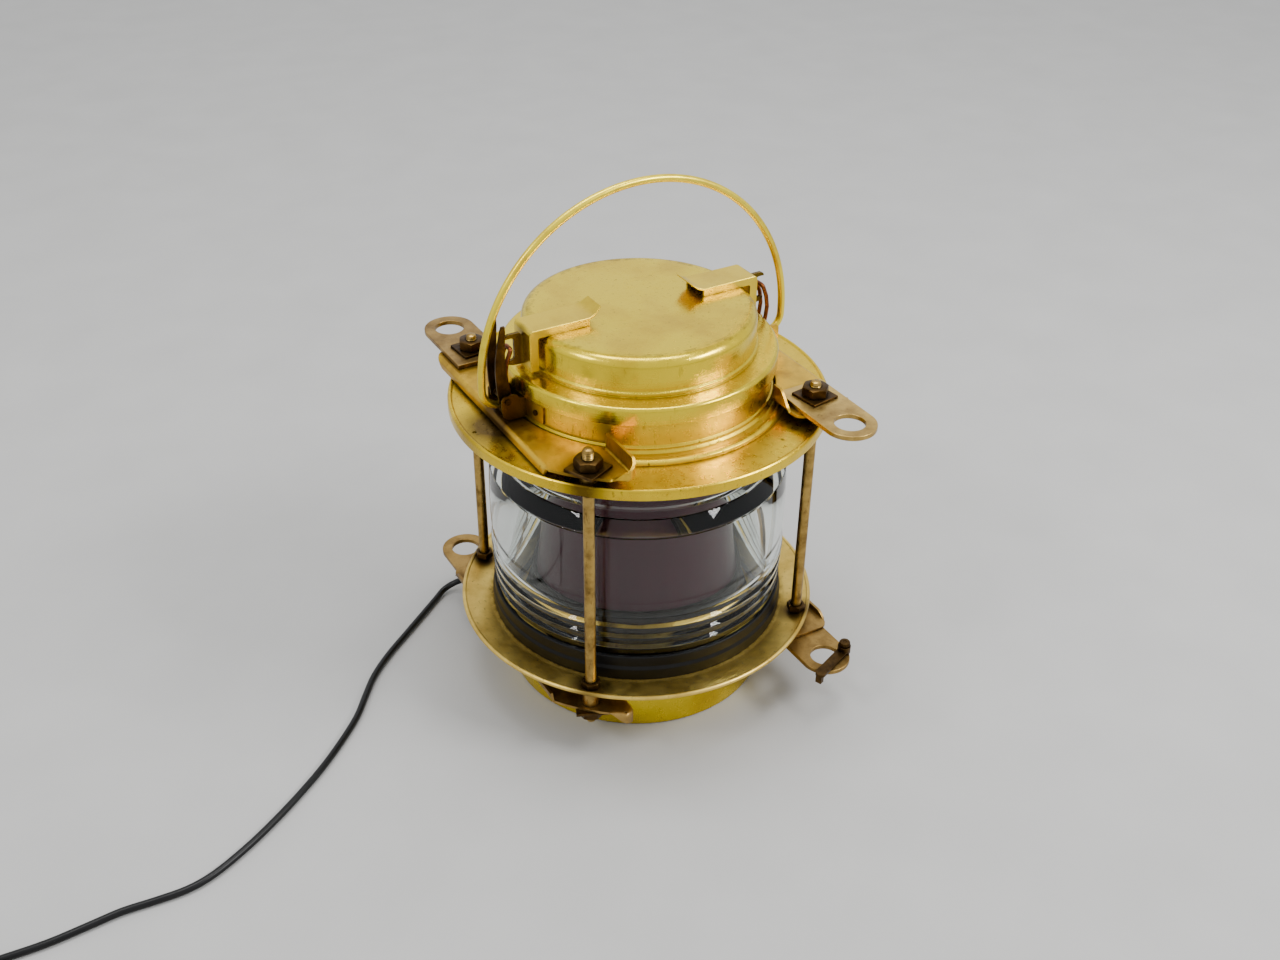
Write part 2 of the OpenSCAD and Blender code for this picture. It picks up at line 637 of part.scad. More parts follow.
module rod_spacers() color(brass_dark) at_rods() {
  spacer(z_flange_top, z_bar);
  spacer(z_low_bar_top, dish_low_z);
}

foot_nut_h = 5;
foot_nut_af = 12.4;
foot_nut_r = foot_nut_af / 2 / cos(30);

// Nuts clamping the rods to the flanges, each with a flat towards the edge
module flange_nuts() color("#3a3124") for (p = RODS)
  translate([p[0] * rod_x, p[1] * rod_x, 0]) rotate([0, 0, 15 * p[0] * p[1]]) {
    translate([0, 0, dish_high_z]) hex(foot_nut_r, foot_nut_h, rod_hole_r);
    translate([0, 0, z_flange - foot_nut_h]) hex(foot_nut_r, foot_nut_h, rod_hole_r);
  }

corner_r = 8;

// Outline of the cross bar on the +X side with its long end towards -Y
module bar_outline(clear_r) difference() {
  intersection() {
    union() {
      translate([bar_in, -bar_long + corner_r]) square([2 * bar_half_w, bar_long * 2]);
      translate([bar_in + corner_r, -bar_long]) square([2 * (bar_half_w - corner_r), corner_r]);
      for (x = [bar_in + corner_r, bar_out - corner_r]) translate([x, -bar_long + corner_r])
        circle(r = corner_r, $fn = 32);
    }
    union() {
      translate([0, -big]) square([big, big]);
      circle(r = bar_trim_r, $fn = fine);
    }
  }
  circle(r = clear_r, $fn = fine);
  for (s = [-1, 1]) translate([rod_x, s * rod_x]) circle(r = rod_hole_r, $fn = 32);
}

// Folded lip along the inner edge, lower towards the end of the bar. Its rounded end takes
// no more than part of what the middle piece leaves free
lip_end_l = 12;
lip_end_share = 0.6;

module bar_lip(clear_r, y_end, s) {
  y0 = sqrt(pow(clear_r, 2) - pow(bar_in, 2)) + 1;
  end_l = min(lip_end_l, lip_end_share * (y_end - y0));
  translate([bar_in, 0, 0]) rotate([90, 0, 90]) linear_extrude(bar_t) polygon([
    [s * y0, 0], [s * y0, lip_h + bar_t], [s * (y_end - end_l), lip_h + bar_t - 1],
    [s * (y_end - end_l * 5 / 12), lip_h - 2], [s * (y_end - end_l / 12), bar_t + 3],
    [s * y_end, 0]
  ]);
}

bar_short = sqrt(pow(bar_trim_r, 2) - pow(bar_in + bar_t, 2)) - 1;
bar_lip_long = bar_long - corner_r;

// Bar seen from its outer face: plate first, inner lips rising from it, outer lip below it
module bar(clear_r) {
  linear_extrude(bar_t) bar_outline(clear_r);
  translate([bar_out - bar_t, -bar_lip_long, -outer_lip_h])
    cube([bar_t, bar_lip_long + sqrt(pow(bar_trim_r, 2) - pow(bar_out, 2)), outer_lip_h + 0.1]);
  bar_lip(clear_r, bar_lip_long, -1);
  bar_lip(clear_r, bar_short, 1);
}

upper_clear_r = neck_r + 2.4;
lower_clear_r = drum_r + part_gap;

module upper_bar(side) color(brass) right_or_left(side) translate([0, 0, z_bar]) bar(upper_clear_r);

module lower_bar(side) color("#8a6d35") right_or_left(side)
  translate([0, 0, z_low_bar_top]) mirror([0, 0, 1]) bar(lower_clear_r);

// Guide eye on the long end of a bar
eye_r = eye_bore_r + eye_wall;
eye_back = 18.5;

module guide_eye(side, z, bored = true) color(brass) right_or_left(side)
  translate([rod_x, 0, z]) difference() {
    union() {
      translate([-eye_r, -eye_y, 0]) cube([2 * eye_r, eye_y - rod_x + eye_back, eye_t]);
      translate([0, -eye_y, 0]) cylinder(r = eye_r, h = eye_t, $fn = fine);
    }
    translate([0, -eye_y, -1]) cylinder(r = eye_bore_r, h = eye_t + 2, $fn = 64);
    translate([0, -rod_x, -1]) cylinder(r = rod_hole_r, h = eye_t + 2, $fn = 32);
    if (!bored) translate([lock_at[0], lock_at[1] - eye_y, -1])
      cylinder(r = lock_bolt_d / 2 + run_clear, h = eye_t + 2, $fn = 24);
  }

WASHER_TURN = [24, 8, -15, 5];

module square_washer(turn) rotate([0, 0, turn]) difference() {
  translate([-washer_w / 2, -washer_w / 2, 0]) cube([washer_w, washer_w, washer_t]);
  translate([0, 0, -1]) cylinder(r = rod_hole_r, h = washer_t + 2, $fn = 32);
}

module square_washers() color("#6b5633") for (i = [0:3]) let (p = RODS[i])
  translate([p[0] * rod_x, p[1] * rod_x, 0]) {
    translate([0, 0, p[2] ? z_eye_top : z_bar_top]) square_washer(WASHER_TURN[i]);
    translate([0, 0, (p[2] ? z_low_eye : z_low_bar) - washer_t]) square_washer(-WASHER_TURN[i]);
  }

module rod_end_nuts() color("#4a3e28") for (i = [0:3]) let (p = RODS[i])
  translate([p[0] * rod_x, p[1] * rod_x, 0]) {
    translate([0, 0, (p[2] ? z_eye_top : z_bar_top) + washer_t]) rotate([0, 0, 12 * i])
      hex(nut_r, nut_h, rod_hole_r);
    translate([0, 0, (p[2] ? z_low_eye : z_low_bar) - washer_t - nut_h]) rotate([0, 0, 17 * i])
      hex(nut_r, nut_h, rod_hole_r);
  }

// Swivelling lock on the lower right eye: its arm crosses the eye and its finger hooks
// down outside the rim, so that the guide wire is gripped
lock_at = [15, -4];
lock_tip = [-16.5, -17];
lock_bolt_d = 4;
lock_arm_w = 8;
lock_arm_t = 2.4;
lock_z = z_low_bar + part_gap;
lock_v = lock_tip - lock_at;
lock_len = norm(lock_v);
lock_turn = atan2(lock_v[1], lock_v[0]);
lock_boss_r = 5;
lock_top = lock_z + 6;

module at_lock() translate([rod_x + lock_at[0], lock_at[1] - eye_y, 0]) children();

module wire_lock() color(brass_dark) at_lock() difference() {
  union() {
    translate([0, 0, lock_z]) rotate([0, 0, lock_turn]) {
      translate([0, -lock_arm_w / 2, 0]) cube([lock_len, lock_arm_w, lock_arm_t]);
      translate([lock_len, 0, 0]) cylinder(r = lock_arm_w / 2, h = lock_arm_t, $fn = 32);
      translate([lock_len - 1, -2.5, -eye_t - 3]) cube([4, 5, eye_t + 3 + lock_arm_t]);
    }
    translate([0, 0, lock_z]) cylinder(r = lock_boss_r, h = lock_top - lock_z, $fn = 32);
  }
  translate([0, 0, lock_z - 1]) cylinder(r = lock_bolt_d / 2 + run_clear, h = 20, $fn = 24);
}

module wire_lock_bolt() color("#3a3124") at_lock() {
  translate([0, 0, z_low_eye - 3])
    cylinder(r = lock_bolt_d / 2, h = lock_top + part_gap - z_low_eye + 3, $fn = 24);
  translate([0, 0, z_low_eye - 3]) cylinder(r = 3.6, h = 3, $fn = 6);
  translate([0, 0, lock_top + part_gap]) cylinder(r = 4.2, h = 3.4, $fn = 32);
}

// Lamp, its holder and the wiring inside

tray_r = plate_r - 2;
z_tray = z_dish - sheet_t;
holder_z = z_dish_top;
seat_foot_r = dish_hole_r - 2;
z_seat = z_dish_top + seat_h;
seat_rim_r = sleeve_r + 3;
seat_in_r = sleeve_r - sleeve_t - 3;

// Tray closing the opening of the lower flange from below
module lamp_tray() color(brass_dark) difference() {
  union() {
    translate([0, 0, z_tray]) cylinder(r = tray_r, h = sheet_t, $fn = fine);
    translate([0, 0, z_dish]) cylinder(r = dish_hole_r - part_gap, h = sheet_t, $fn = fine);
  }
  translate([0, 0, z_tray - 1]) cylinder(r = lead_hole_r, h = 4 * sheet_t, $fn = 32);
}

// Spun cone that lifts the sleeve to the height of the lens belt
module sleeve_seat() color("#5b4526") revolve([
  [seat_foot_r - 3, z_dish_top], [seat_foot_r, z_dish_top], [seat_foot_r, z_dish_top + 2],
  [seat_rim_r, z_seat - 4], [seat_rim_r, z_seat + 5], [sleeve_r + part_gap, z_seat + 5],
  [sleeve_r + part_gap, z_seat], [seat_in_r, z_seat], [seat_in_r, z_seat - sheet_t],
  [sleeve_r, z_seat - 5],
  [seat_foot_r - 3, z_dish_top + 2]
]);

module colour_sleeve() color("#3b2730", 0.8) translate([0, 0, z_seat]) revolve([
  [sleeve_r - sleeve_t, 0], [sleeve_r, 0], [sleeve_r, sleeve_h], [sleeve_r - sleeve_t, sleeve_h]
]);

vent_r = 30;
vent_up = 4;
cap_skirt_h = 5;

module sleeve_cap() color("#5b4526") translate([0, 0, z_seat + sleeve_h]) revolve([
  [vent_r, vent_up], [vent_r + 2, vent_up], [sleeve_r - sleeve_t - 2, 0], [sleeve_r + part_gap, 0],
  [sleeve_r + part_gap, -cap_skirt_h], [sleeve_r + 2, -cap_skirt_h], [sleeve_r + 2, sheet_t],
  [sleeve_r - sleeve_t - 1, sheet_t], [vent_r + 2, vent_up + sheet_t], [vent_r, vent_up + sheet_t]
]);

cap_d = 26;
cap_l = 24;
socket_depth = 14;
z_cap_bulb = holder_z + holder_h - socket_depth;
z_bulb = z_cap_bulb + cap_l;
lead_hole_r = 7;

module lampholder() color("#d9d3c4") translate([0, 0, holder_z]) difference() {
  union() {
    cylinder(r = holder_d / 2 + 4, h = 4, $fn = 64);
    cylinder(r = holder_d / 2, h = holder_h, $fn = 64);
    translate([0, 0, holder_h - 8]) cylinder(r = holder_d / 2 + 2, h = 8, $fn = 64);
  }
  translate([0, 0, holder_h - socket_depth])
    cylinder(r = cap_d / 2 + part_gap, h = socket_depth + 1, $fn = 64);
  translate([0, 0, -1]) cylinder(r = lead_hole_r, h = holder_h - socket_depth - 10, $fn = 32);
}

thread_pitch = 3.6;

module bulb_cap() color("#b9b3a4") translate([0, 0, z_cap_bulb]) revolve(concat(
  [[0, 0], [5, 0], [cap_d / 2 - 2, 2]],
  [for (i = [0:4]) each [
    [cap_d / 2, 2 + thread_pitch * (i + 0.5)], [cap_d / 2 - 1, 2 + thread_pitch * (i + 1)]]],
  [[cap_d / 2 - 1, cap_l], [0, cap_l]]
));

bulb_neck_r = cap_d / 2 - 1;
bulb_rise = bulb_d * 0.55;

module bulb_glass() color("#f4efe2", 0.6) translate([0, 0, z_bulb]) union() {
  translate([0, 0, bulb_rise + 8]) sphere(r = bulb_d / 2, $fn = 64);
  cylinder(r1 = bulb_neck_r, r2 = bulb_d * 0.4, h = bulb_rise - 2, $fn = 64);
}

// Lead from the gland to the lampholder, with a block of terminals on the bottom plate
block_l = 34;
block_h = 14;
block_at = [-24, 32];

module terminal_block() color("#e8e2d2") translate([block_at[0], block_at[1], z_plate_top])
  rotate([0, 0, gland_az]) difference() {
    translate([-block_l / 2, -10, 0]) cube([block_l, 20, block_h]);
    for (y = [-5, 5]) translate([-block_l / 2 - 1, y, lead_z - z_plate_top]) rotate([0, 90, 0])
      cylinder(r = 1.8, h = 6, $fn = 24);
    for (x = [-8, 8], y = [-5, 5]) translate([x, y, block_h - 5]) cylinder(r = 2, h = 6, $fn = 24);
  }

lead_z = gland_z;
block_end = norm(block_at) + block_l / 2;
gland_in = drum_r - sheet_t - 8;
riser_z = holder_z + holder_h - socket_depth - 15;

module inner_lead() color("#2a2a2c") {
  radial(gland_az, lead_z) translate([0, 0, block_end])
    cylinder(r = cord_d / 2, h = relief_start - block_end, $fn = 24);
  wire([[block_at[0] + 12, block_at[1] - 15, lead_z], [-6, 10, lead_z + 2],
    [0, 0, lead_z + 12], [0, 0, riser_z]], 3.6);
}

module cable_gland() color("#8f7434") radial(gland_az, gland_z) difference() {
  union() {
    translate([0, 0, gland_in]) cylinder(r = gland_hole_r, h = relief_start - gland_in, $fn = 32);
    translate([0, 0, drum_r + 0.4]) cylinder(r = gland_hex_r, h = 6, $fn = 6);
  }
  translate([0, 0, gland_in - 1]) cylinder(r = cord_d / 2 + run_clear, h = 60, $fn = 24);
}

gland_nut_h = 4;
module gland_nut() color("#8f7434") radial(gland_az, gland_z)
  translate([0, 0, drum_r - sheet_t - 0.8 - gland_nut_h]) difference() {
    cylinder(r = gland_hex_r, h = gland_nut_h, $fn = 6);
    translate([0, 0, -1]) cylinder(r = gland_hole_r + run_clear, h = gland_nut_h + 2, $fn = 32);
  }

relief_l = 30;
gland_out = 12;
relief_start = drum_r + gland_out;
relief_end = relief_start + relief_l;

module strain_relief() color(rubber) radial(gland_az, gland_z) translate([0, 0, relief_start])
  difference() {
    cylinder(r1 = gland_hole_r, r2 = cord_d / 2 + 1, h = relief_l, $fn = 32);
    for (i = [1:5]) translate([0, 0, i * relief_l / 6.5]) rotate_extrude($fn = 32)
      translate([gland_hole_r - 1 - i * 0.4, 0]) square([4, 1.6]);
  }

// Cord on the floor. Points [x, y, z] of the free stretch, chosen by hand
cord_r = cord_d / 2;
floor_z = cord_r + 0.05;
RUN = [
  [gland_dir[0] * relief_end, gland_dir[1] * relief_end, gland_z],
  [-95, 126, 13], [-102, 132, 8.5], [-112, 133, 4.5], [-122, 127, floor_z],
  [-140, 113, floor_z], [-162, 96, floor_z], [-185, 78, floor_z], [-204, 60, floor_z],
  [-218, 42, floor_z], [-233, 22, floor_z], [-253, 2, floor_z], [-276, -18, floor_z],
  [-302, -37, floor_z], [-325, -52, floor_z], [-346, -64, floor_z], [-370, -75, floor_z],
  [-389, -79, floor_z], [-410, -78, floor_z], [-431, -76, floor_z], [-452, -77, floor_z],
  [-478, -78, floor_z], [-506, -76, floor_z], [-526, -74, floor_z], [-540, -74, floor_z]
];
TAIL_DROP = 36;

// Smooth curve through the points
function near(p, i) = p[max(0, min(len(p) - 1, i))];
function curve_at(p, i, t) = let (a = near(p, i - 1), b = near(p, i), c = near(p, i + 1),
  d = near(p, i + 2)) 0.5 * (2 * b + (c - a) * t + (2 * a - 5 * b + 4 * c - d) * t * t
  + (3 * b - a - 3 * c + d) * t * t * t);
function smooth(p, n) = concat(
  [for (i = [0:len(p) - 2], k = [0:n - 1]) curve_at(p, i, k / n)], [p[len(p) - 1]]);

// Tube swept along a path, one ring of points at each place
function unit(v) = v / norm(v);
function heading(p, i) = unit(near(p, i + 1) - near(p, i - 1));
function ring_at(c, t, r, sides) = let (side = unit(cross([0, 0, 1], t)), up = cross(t, side))
  [for (k = [0:sides - 1]) let (a = 360 * (k + 0.5) / sides) c + r * (cos(a) * side + sin(a) * up)];

module tube(path, ends, r, sides) {
  n = len(path);
  rings = [for (i = [0:n - 1])
    ring_at(path[i], i == 0 ? ends[0] : i == n - 1 ? ends[1] : heading(path, i), r, sides)];
  points = [for (ring = rings) each ring];
  walls = [for (i = [0:n - 2], k = [0:sides - 1]) let (
      a = i * sides + k, b = i * sides + (k + 1) % sides, c = a + sides, d = b + sides)
    each [[a, c, b], [b, c, d]]];
  first = [for (k = [1:sides - 2]) [0, k, k + 1]];
  last = [for (k = [1:sides - 2]) let (o = (n - 1) * sides) [o, o + k + 1, o + k]];
  polyhedron(points = points, faces = concat(walls, first, last), convexity = 10);
}

run_path = smooth(RUN, 2);

module cord_run() color(rubber)
  tube(run_path, [[gland_dir[0], gland_dir[1], 0], [-1, 0, 0]], cord_r, 8);

// The coil: turns spiral in, climb a layer while the spiral turns back, and spiral out
plug_t = 13.5;
plug_z = plug_t / 2;

coil_gap = 0.7;
coil_turns = 6.5;
coil_in_r = 21.6;
coil_pitch = cord_d + coil_gap;
coil_mid = coil_turns / 2;
coil_out_r = coil_in_r + coil_pitch * coil_mid;
coil_start = [RUN[len(RUN) - 1][0] - cord_d, RUN[len(RUN) - 1][1]];
coil_centre = [coil_start[0], coil_start[1] - coil_out_r];
coil_rings = 24;
function ease(t) = let (u = max(0, min(1, t))) u * u * (3 - 2 * u);
function coil_at(t) = let (r = coil_in_r + coil_pitch * abs(t - coil_mid), a = 90 + 360 * t)
  [coil_centre[0] + r * cos(a), coil_centre[1] + r * sin(a),
   floor_z + coil_pitch * ease((t - coil_mid + 0.25) * 2)];
coil_turn_points = [for (i = [0:coil_turns * coil_rings]) coil_at(i / coil_rings)];
coil_end = coil_turn_points[len(coil_turn_points) - 1];
coil_path = concat([[coil_start[0] + cord_d, coil_start[1], floor_z]], coil_turn_points,
  [coil_end + [cord_d, 0, 0]]);

// Least distance between turns, measured on the points of the path
least_gap = min([for (i = [0:len(coil_turn_points) - 1], j = [i + 13:1:len(coil_turn_points) - 1])
  norm(coil_turn_points[i] - coil_turn_points[j])]) - cord_d;
echo(least_gap_between_turns = least_gap);
function path_length(p) = len(p) < 2 ? 0
  : norm(p[1] - p[0]) + path_length([for (i = [1:len(p) - 1]) p[i]]);
echo(run = path_length(run_path), coil = path_length(coil_path), tail = path_length(smooth(TAIL, 2)));

module cord_coil() color(rubber) tube(coil_path, [[-1, 0, 0], [1, 0, 0]], cord_r, 6);

TAIL = [
  coil_end + [cord_d, 0, 0], coil_end + [14, 0, -1], coil_end + [24, 1, -3.4],
  [coil_end[0] + TAIL_DROP, coil_end[1] + 3, floor_z + 0.6],
  [coil_end[0] + TAIL_DROP + 12, coil_end[1] + 5, floor_z + 1.2],
  [coil_end[0] + TAIL_DROP + 22, coil_end[1] + 5, plug_z]
];

module cord_tail() color(rubber) tube(smooth(TAIL, 2), [[1, 0, 0], [1, 0, 0]], cord_r, 8);

// Two-pin plug lying flat
plug_w = 26;
plug_l = 36;
plug_neck_l = 8;
plug_neck_w = 10;
plug_grip_l = 16;
pin_d = 4;
pin_l = 19;
pin_apart = 18.6;
plug_at = TAIL[len(TAIL) - 1];

module plug_body() color(rubber) translate([plug_at[0], plug_at[1], 0]) {
  translate([0, 0, plug_z]) rotate([0, 90, 0]) cylinder(r = cord_r + 1.4, h = plug_neck_l, $fn = 32);
  translate([0, 0, 0]) linear_extrude(plug_t) polygon([
    [plug_neck_l - 1, -plug_neck_w / 2], [plug_neck_l - 1, plug_neck_w / 2],
    [plug_grip_l, plug_w / 2], [plug_l - 2, plug_w / 2], [plug_l, plug_w / 2 - 2],
    [plug_l, -plug_w / 2 + 2], [plug_l - 2, -plug_w / 2], [plug_grip_l, -plug_w / 2]
  ]);
}

module plug_pins() color("#c9c4b8") for (y = [-pin_apart / 2, pin_apart / 2])
  translate([plug_at[0] + plug_l, plug_at[1] + y, plug_z]) rotate([0, 90, 0])
    cylinder(r = pin_d / 2, h = pin_l, $fn = 24);

base_drum();
base_plate();
base_screws();
lower_flange();
lens_gasket_lower();
lens();
lens_gasket_upper();
upper_flange();
neck();
guard_rods();
rod_spacers();
flange_nuts();
upper_bar("left");  // upper_bar_left
upper_bar("right");  // upper_bar_right
lower_bar("left");  // lower_bar_left
lower_bar("right");  // lower_bar_right
guide_eye("left", z_bar_top);  // guide_eye_upper_left
guide_eye("right", z_bar_top);  // guide_eye_upper_right
guide_eye("left", z_low_eye);  // guide_eye_lower_left
guide_eye("right", z_low_eye, false);  // guide_eye_lower_right
square_washers();
rod_end_nuts();
wire_lock();
wire_lock_bolt();
lid();
strap("left");  // strap_left
strap("right");  // strap_right
link("left");  // link_left
link("right");  // link_right
latch_lever();
bracket("left");  // bracket_left
bracket("right");  // bracket_right
bracket_rivets();
latch_pin("left");  // latch_pin_left
latch_pin("right");  // latch_pin_right
bail();
lamp_tray();
sleeve_seat();
colour_sleeve();
sleeve_cap();
lampholder();
bulb_glass();
bulb_cap();
terminal_block();
inner_lead();
cable_gland();
gland_nut();
strain_relief();
cord_run();
cord_coil();
cord_tail();
plug_body();
plug_pins();
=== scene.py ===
# %% [markdown]
# # A ship's hoisting lamp in brass and glass
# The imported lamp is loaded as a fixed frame: every CAD node sits where the real piece sits.
# On the real lamp most pieces are spun, cut or bent from brass sheet, and they show it in
# rounded folds, fine lathe lines, tarnish and dirt in the corners. This lesson gives each
# piece that shape and finish, and leaves every size to the frame.

# %% Load the frame
import json
import math

import bmesh
import bpy
from mathutils import Matrix, Vector, noise

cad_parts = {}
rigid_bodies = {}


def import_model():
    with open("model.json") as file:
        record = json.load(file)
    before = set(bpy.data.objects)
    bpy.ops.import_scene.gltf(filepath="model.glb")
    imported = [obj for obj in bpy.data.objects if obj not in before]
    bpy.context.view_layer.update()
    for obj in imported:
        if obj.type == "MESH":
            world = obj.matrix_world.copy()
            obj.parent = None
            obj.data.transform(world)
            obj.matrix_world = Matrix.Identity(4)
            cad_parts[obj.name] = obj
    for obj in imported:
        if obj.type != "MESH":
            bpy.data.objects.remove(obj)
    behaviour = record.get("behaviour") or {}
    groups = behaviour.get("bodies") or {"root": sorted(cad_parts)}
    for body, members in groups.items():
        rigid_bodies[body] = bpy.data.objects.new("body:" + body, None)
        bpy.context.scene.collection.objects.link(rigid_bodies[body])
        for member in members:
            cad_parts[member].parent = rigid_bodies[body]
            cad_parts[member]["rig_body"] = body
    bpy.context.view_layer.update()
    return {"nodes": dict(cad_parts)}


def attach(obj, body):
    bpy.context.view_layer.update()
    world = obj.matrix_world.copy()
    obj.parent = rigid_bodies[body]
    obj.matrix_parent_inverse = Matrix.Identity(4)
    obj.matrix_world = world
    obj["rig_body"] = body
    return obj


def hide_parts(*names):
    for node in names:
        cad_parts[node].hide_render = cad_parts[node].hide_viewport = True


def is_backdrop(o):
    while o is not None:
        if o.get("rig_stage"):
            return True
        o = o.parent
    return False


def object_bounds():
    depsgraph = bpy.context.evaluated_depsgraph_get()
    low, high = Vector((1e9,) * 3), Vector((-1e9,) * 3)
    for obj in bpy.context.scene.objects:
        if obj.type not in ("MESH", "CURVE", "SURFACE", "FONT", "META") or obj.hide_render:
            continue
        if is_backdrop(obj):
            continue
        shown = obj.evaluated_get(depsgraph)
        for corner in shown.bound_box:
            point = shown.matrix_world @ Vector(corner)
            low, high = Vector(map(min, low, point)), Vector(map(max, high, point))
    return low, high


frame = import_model()
nodes = frame["nodes"]
MM = 0.001
print("nodes in the frame:", len(nodes))

# %% [markdown]
# ## Camera
# A camera is a place, a heading and a lens. A full-frame 39 mm lens from a little over a
# metre, looking down by a third of a right angle, shows the lid and the glass together.
# The matrix is built from three unit vectors, because that keeps the small roll exact.

# %% Aim the camera
heading, pitch, roll = (math.radians(angle) for angle in (59.38, 33.42, 0.71))
look = Vector((math.cos(pitch) * math.cos(heading), math.cos(pitch) * math.sin(heading),
               -math.sin(pitch)))
level = Vector((math.sin(heading), -math.cos(heading), 0))
upward = level.cross(look)
across = math.cos(roll) * level + math.sin(roll) * upward
camera = bpy.data.objects.new("camera", bpy.data.cameras.new("camera"))
bpy.context.scene.collection.objects.link(camera)
camera.data.lens, camera.data.sensor_width = 39.375, 36
camera.matrix_world = Matrix.Translation((-0.4513, -0.7662, 0.7433)) @ Matrix(
    (across, -look.cross(across), -look)).transposed().to_4x4()
bpy.context.scene.camera = camera
print("camera distance:", round(camera.location.length, 3), "m")

# %% [markdown]
# ## Mains cord
# The cord is a round flex 5.2 mm thick. It leaves the gland at the back of the foot, drops
# to the floor and runs to the left. What the picture does not show is wound into a coil
# with the plug beside it. A curve object suits it: one line of points, given a thickness.

# %% Route and draw the cord
CORD_D = 5.2
FLOOR = CORD_D / 2 + 0.05
run = [(-85.8, 114.4, 16), (-95, 126, 13), (-102, 132, 8.5), (-112, 133, 4.5)] + [
    (x, y, FLOOR) for x, y in (
        (-122, 127), (-140, 113), (-162, 96), (-185, 78), (-204, 60), (-218, 42),
        (-233, 22), (-253, 2), (-276, -18), (-302, -37), (-325, -52), (-346, -64),
        (-370, -75), (-389, -79), (-410, -78), (-431, -76), (-452, -77), (-478, -78),
        (-506, -76), (-526, -74), (-540, -74))]


def through(points, steps):
    """A smooth line through the points, with steps parts between neighbours."""
    points = [Vector(p) for p in points]
    line = []
    for i in range(len(points) - 1):
        a, b, c, d = (points[min(max(j, 0), len(points) - 1)] for j in range(i - 1, i + 3))
        for k in range(steps):
            t = k / steps
            line.append(0.5 * (2 * b + (c - a) * t + (2 * a - 5 * b + 4 * c - d) * t * t
                               + (3 * b - a - 3 * c + d) * t ** 3))
    return line + [points[-1]]


COIL_TURNS, COIL_INNER, COIL_PITCH = 6.5, 21.6, 5.9
coil_outer = COIL_INNER + COIL_PITCH * COIL_TURNS / 2
coil_centre = Vector((-540 - CORD_D, -74 - coil_outer, 0))
coil = []
for i in range(int(COIL_TURNS * 48) + 1):
    turn = i / 48
    radius = COIL_INNER + COIL_PITCH * abs(turn - COIL_TURNS / 2)
    climb = min(max((turn - COIL_TURNS / 2 + 0.25) * 2, 0), 1)
    angle = math.radians(90 + 360 * turn)
    coil.append(coil_centre + Vector((radius * math.cos(angle), radius * math.sin(angle),
                                      FLOOR + COIL_PITCH * climb * climb * (3 - 2 * climb))))
PLUG_T = 13.5
coil_end = coil[-1]
tail = [coil_end + Vector((CORD_D, 0, 0)), coil_end + Vector((14, 0, -1)),
        coil_end + Vector((24, 1, -3.4)),
        (coil_end.x + 36, coil_end.y + 3, FLOOR + 0.6),
        (coil_end.x + 48, coil_end.y + 5, FLOOR + 1.2),
        (coil_end.x + 58, coil_end.y + 5, PLUG_T / 2)]
cord_line = through(run, 4) + coil + through(tail, 3)


def wire(name, points, diameter, body):
    """A round wire along points in mm: a curve with a thickness, turned into a mesh."""
    curve = bpy.data.curves.new(name, "CURVE")
    curve.dimensions, curve.bevel_depth, curve.bevel_resolution = "3D", diameter / 2 * MM, 5
    curve.use_fill_caps = True
    spline = curve.splines.new("POLY")
    spline.points.add(len(points) - 1)
    for spot, p in zip(spline.points, points):
        spot.co = (p[0] * MM, p[1] * MM, p[2] * MM, 1)
    drawn = bpy.data.objects.new("drawn line", curve)
    bpy.context.scene.collection.objects.link(drawn)
    shown = drawn.evaluated_get(bpy.context.evaluated_depsgraph_get())
    made = bpy.data.objects.new(name, bpy.data.meshes.new_from_object(shown))
    bpy.data.objects.remove(drawn)
    bpy.context.scene.collection.objects.link(made)
    made.data.shade_smooth()
    made.data.set_sharp_from_angle(angle=math.radians(50))
    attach(made, body)
    return made


mains_cord = wire("mains_cord", cord_line, CORD_D, "lamp_body")
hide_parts("cord_run", "cord_coil", "cord_tail")
cord_length = sum((Vector(b) - Vector(a)).length for a, b in zip(cord_line, cord_line[1:]))
print("cord length:", round(cord_length * MM, 3), "m")

# %% [markdown]
# ## Turned and spun pieces
# Lid, neck, flanges, foot, glass and rubber ring were all made turning on a lathe or a
# spinning chuck. Each is one outline turned about the axis. The outline's corners carry
# their own rounding, because sheet that was spun over a former never has a sharp corner,
# and that rounding is what catches the light.


# %% Turn an outline about the axis
def rounded(corners, steps=5):
    """Closed outline from corners (r, z) or (r, z, rounding) in mm."""
    outline = []
    for i, corner in enumerate(corners):
        here = Vector(corner[:2])
        back = Vector(corners[i - 1][:2]) - here
        on = Vector(corners[(i + 1) % len(corners)][:2]) - here
        if len(corner) < 3 or abs(back.angle(on) - math.pi) < 0.02:
            outline.append(here)
            continue
        half = back.angle(on) / 2
        cut = min(corner[2] / math.tan(half), 0.48 * back.length, 0.48 * on.length)
        size = cut * math.tan(half)
        middle = (back.normalized() + on.normalized()).normalized()
        centre = here + middle * size / math.sin(half)
        first = here + back.normalized() * cut - centre
        last = here + on.normalized() * cut - centre
        for k in range(steps + 1):
            outline.append(centre + first.lerp(last, k / steps).normalized() * size)
    return outline


def dense(outline, step):
    """The same outline with no part longer than step, so that the sheet can wave."""
    points = []
    for a, b in zip(outline, outline[1:] + outline[:1]):
        parts = max(1, math.ceil((b - a).length / step))
        points += [a.lerp(b, k / parts) for k in range(parts)]
    return points


def smooth(made, angle=34):
    """Smooth shading, with edges sharper than angle kept."""
    made.data.shade_smooth()
    made.data.set_sharp_from_angle(angle=math.radians(angle))


def piece(name, mesh, body, stands_for=()):
    """A new object that rides on a body and replaces CAD nodes."""
    made = bpy.data.objects.new(name, mesh)
    bpy.context.scene.collection.objects.link(made)
    smooth(made)
    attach(made, body)
    if stands_for:
        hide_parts(*stands_for)
    return made


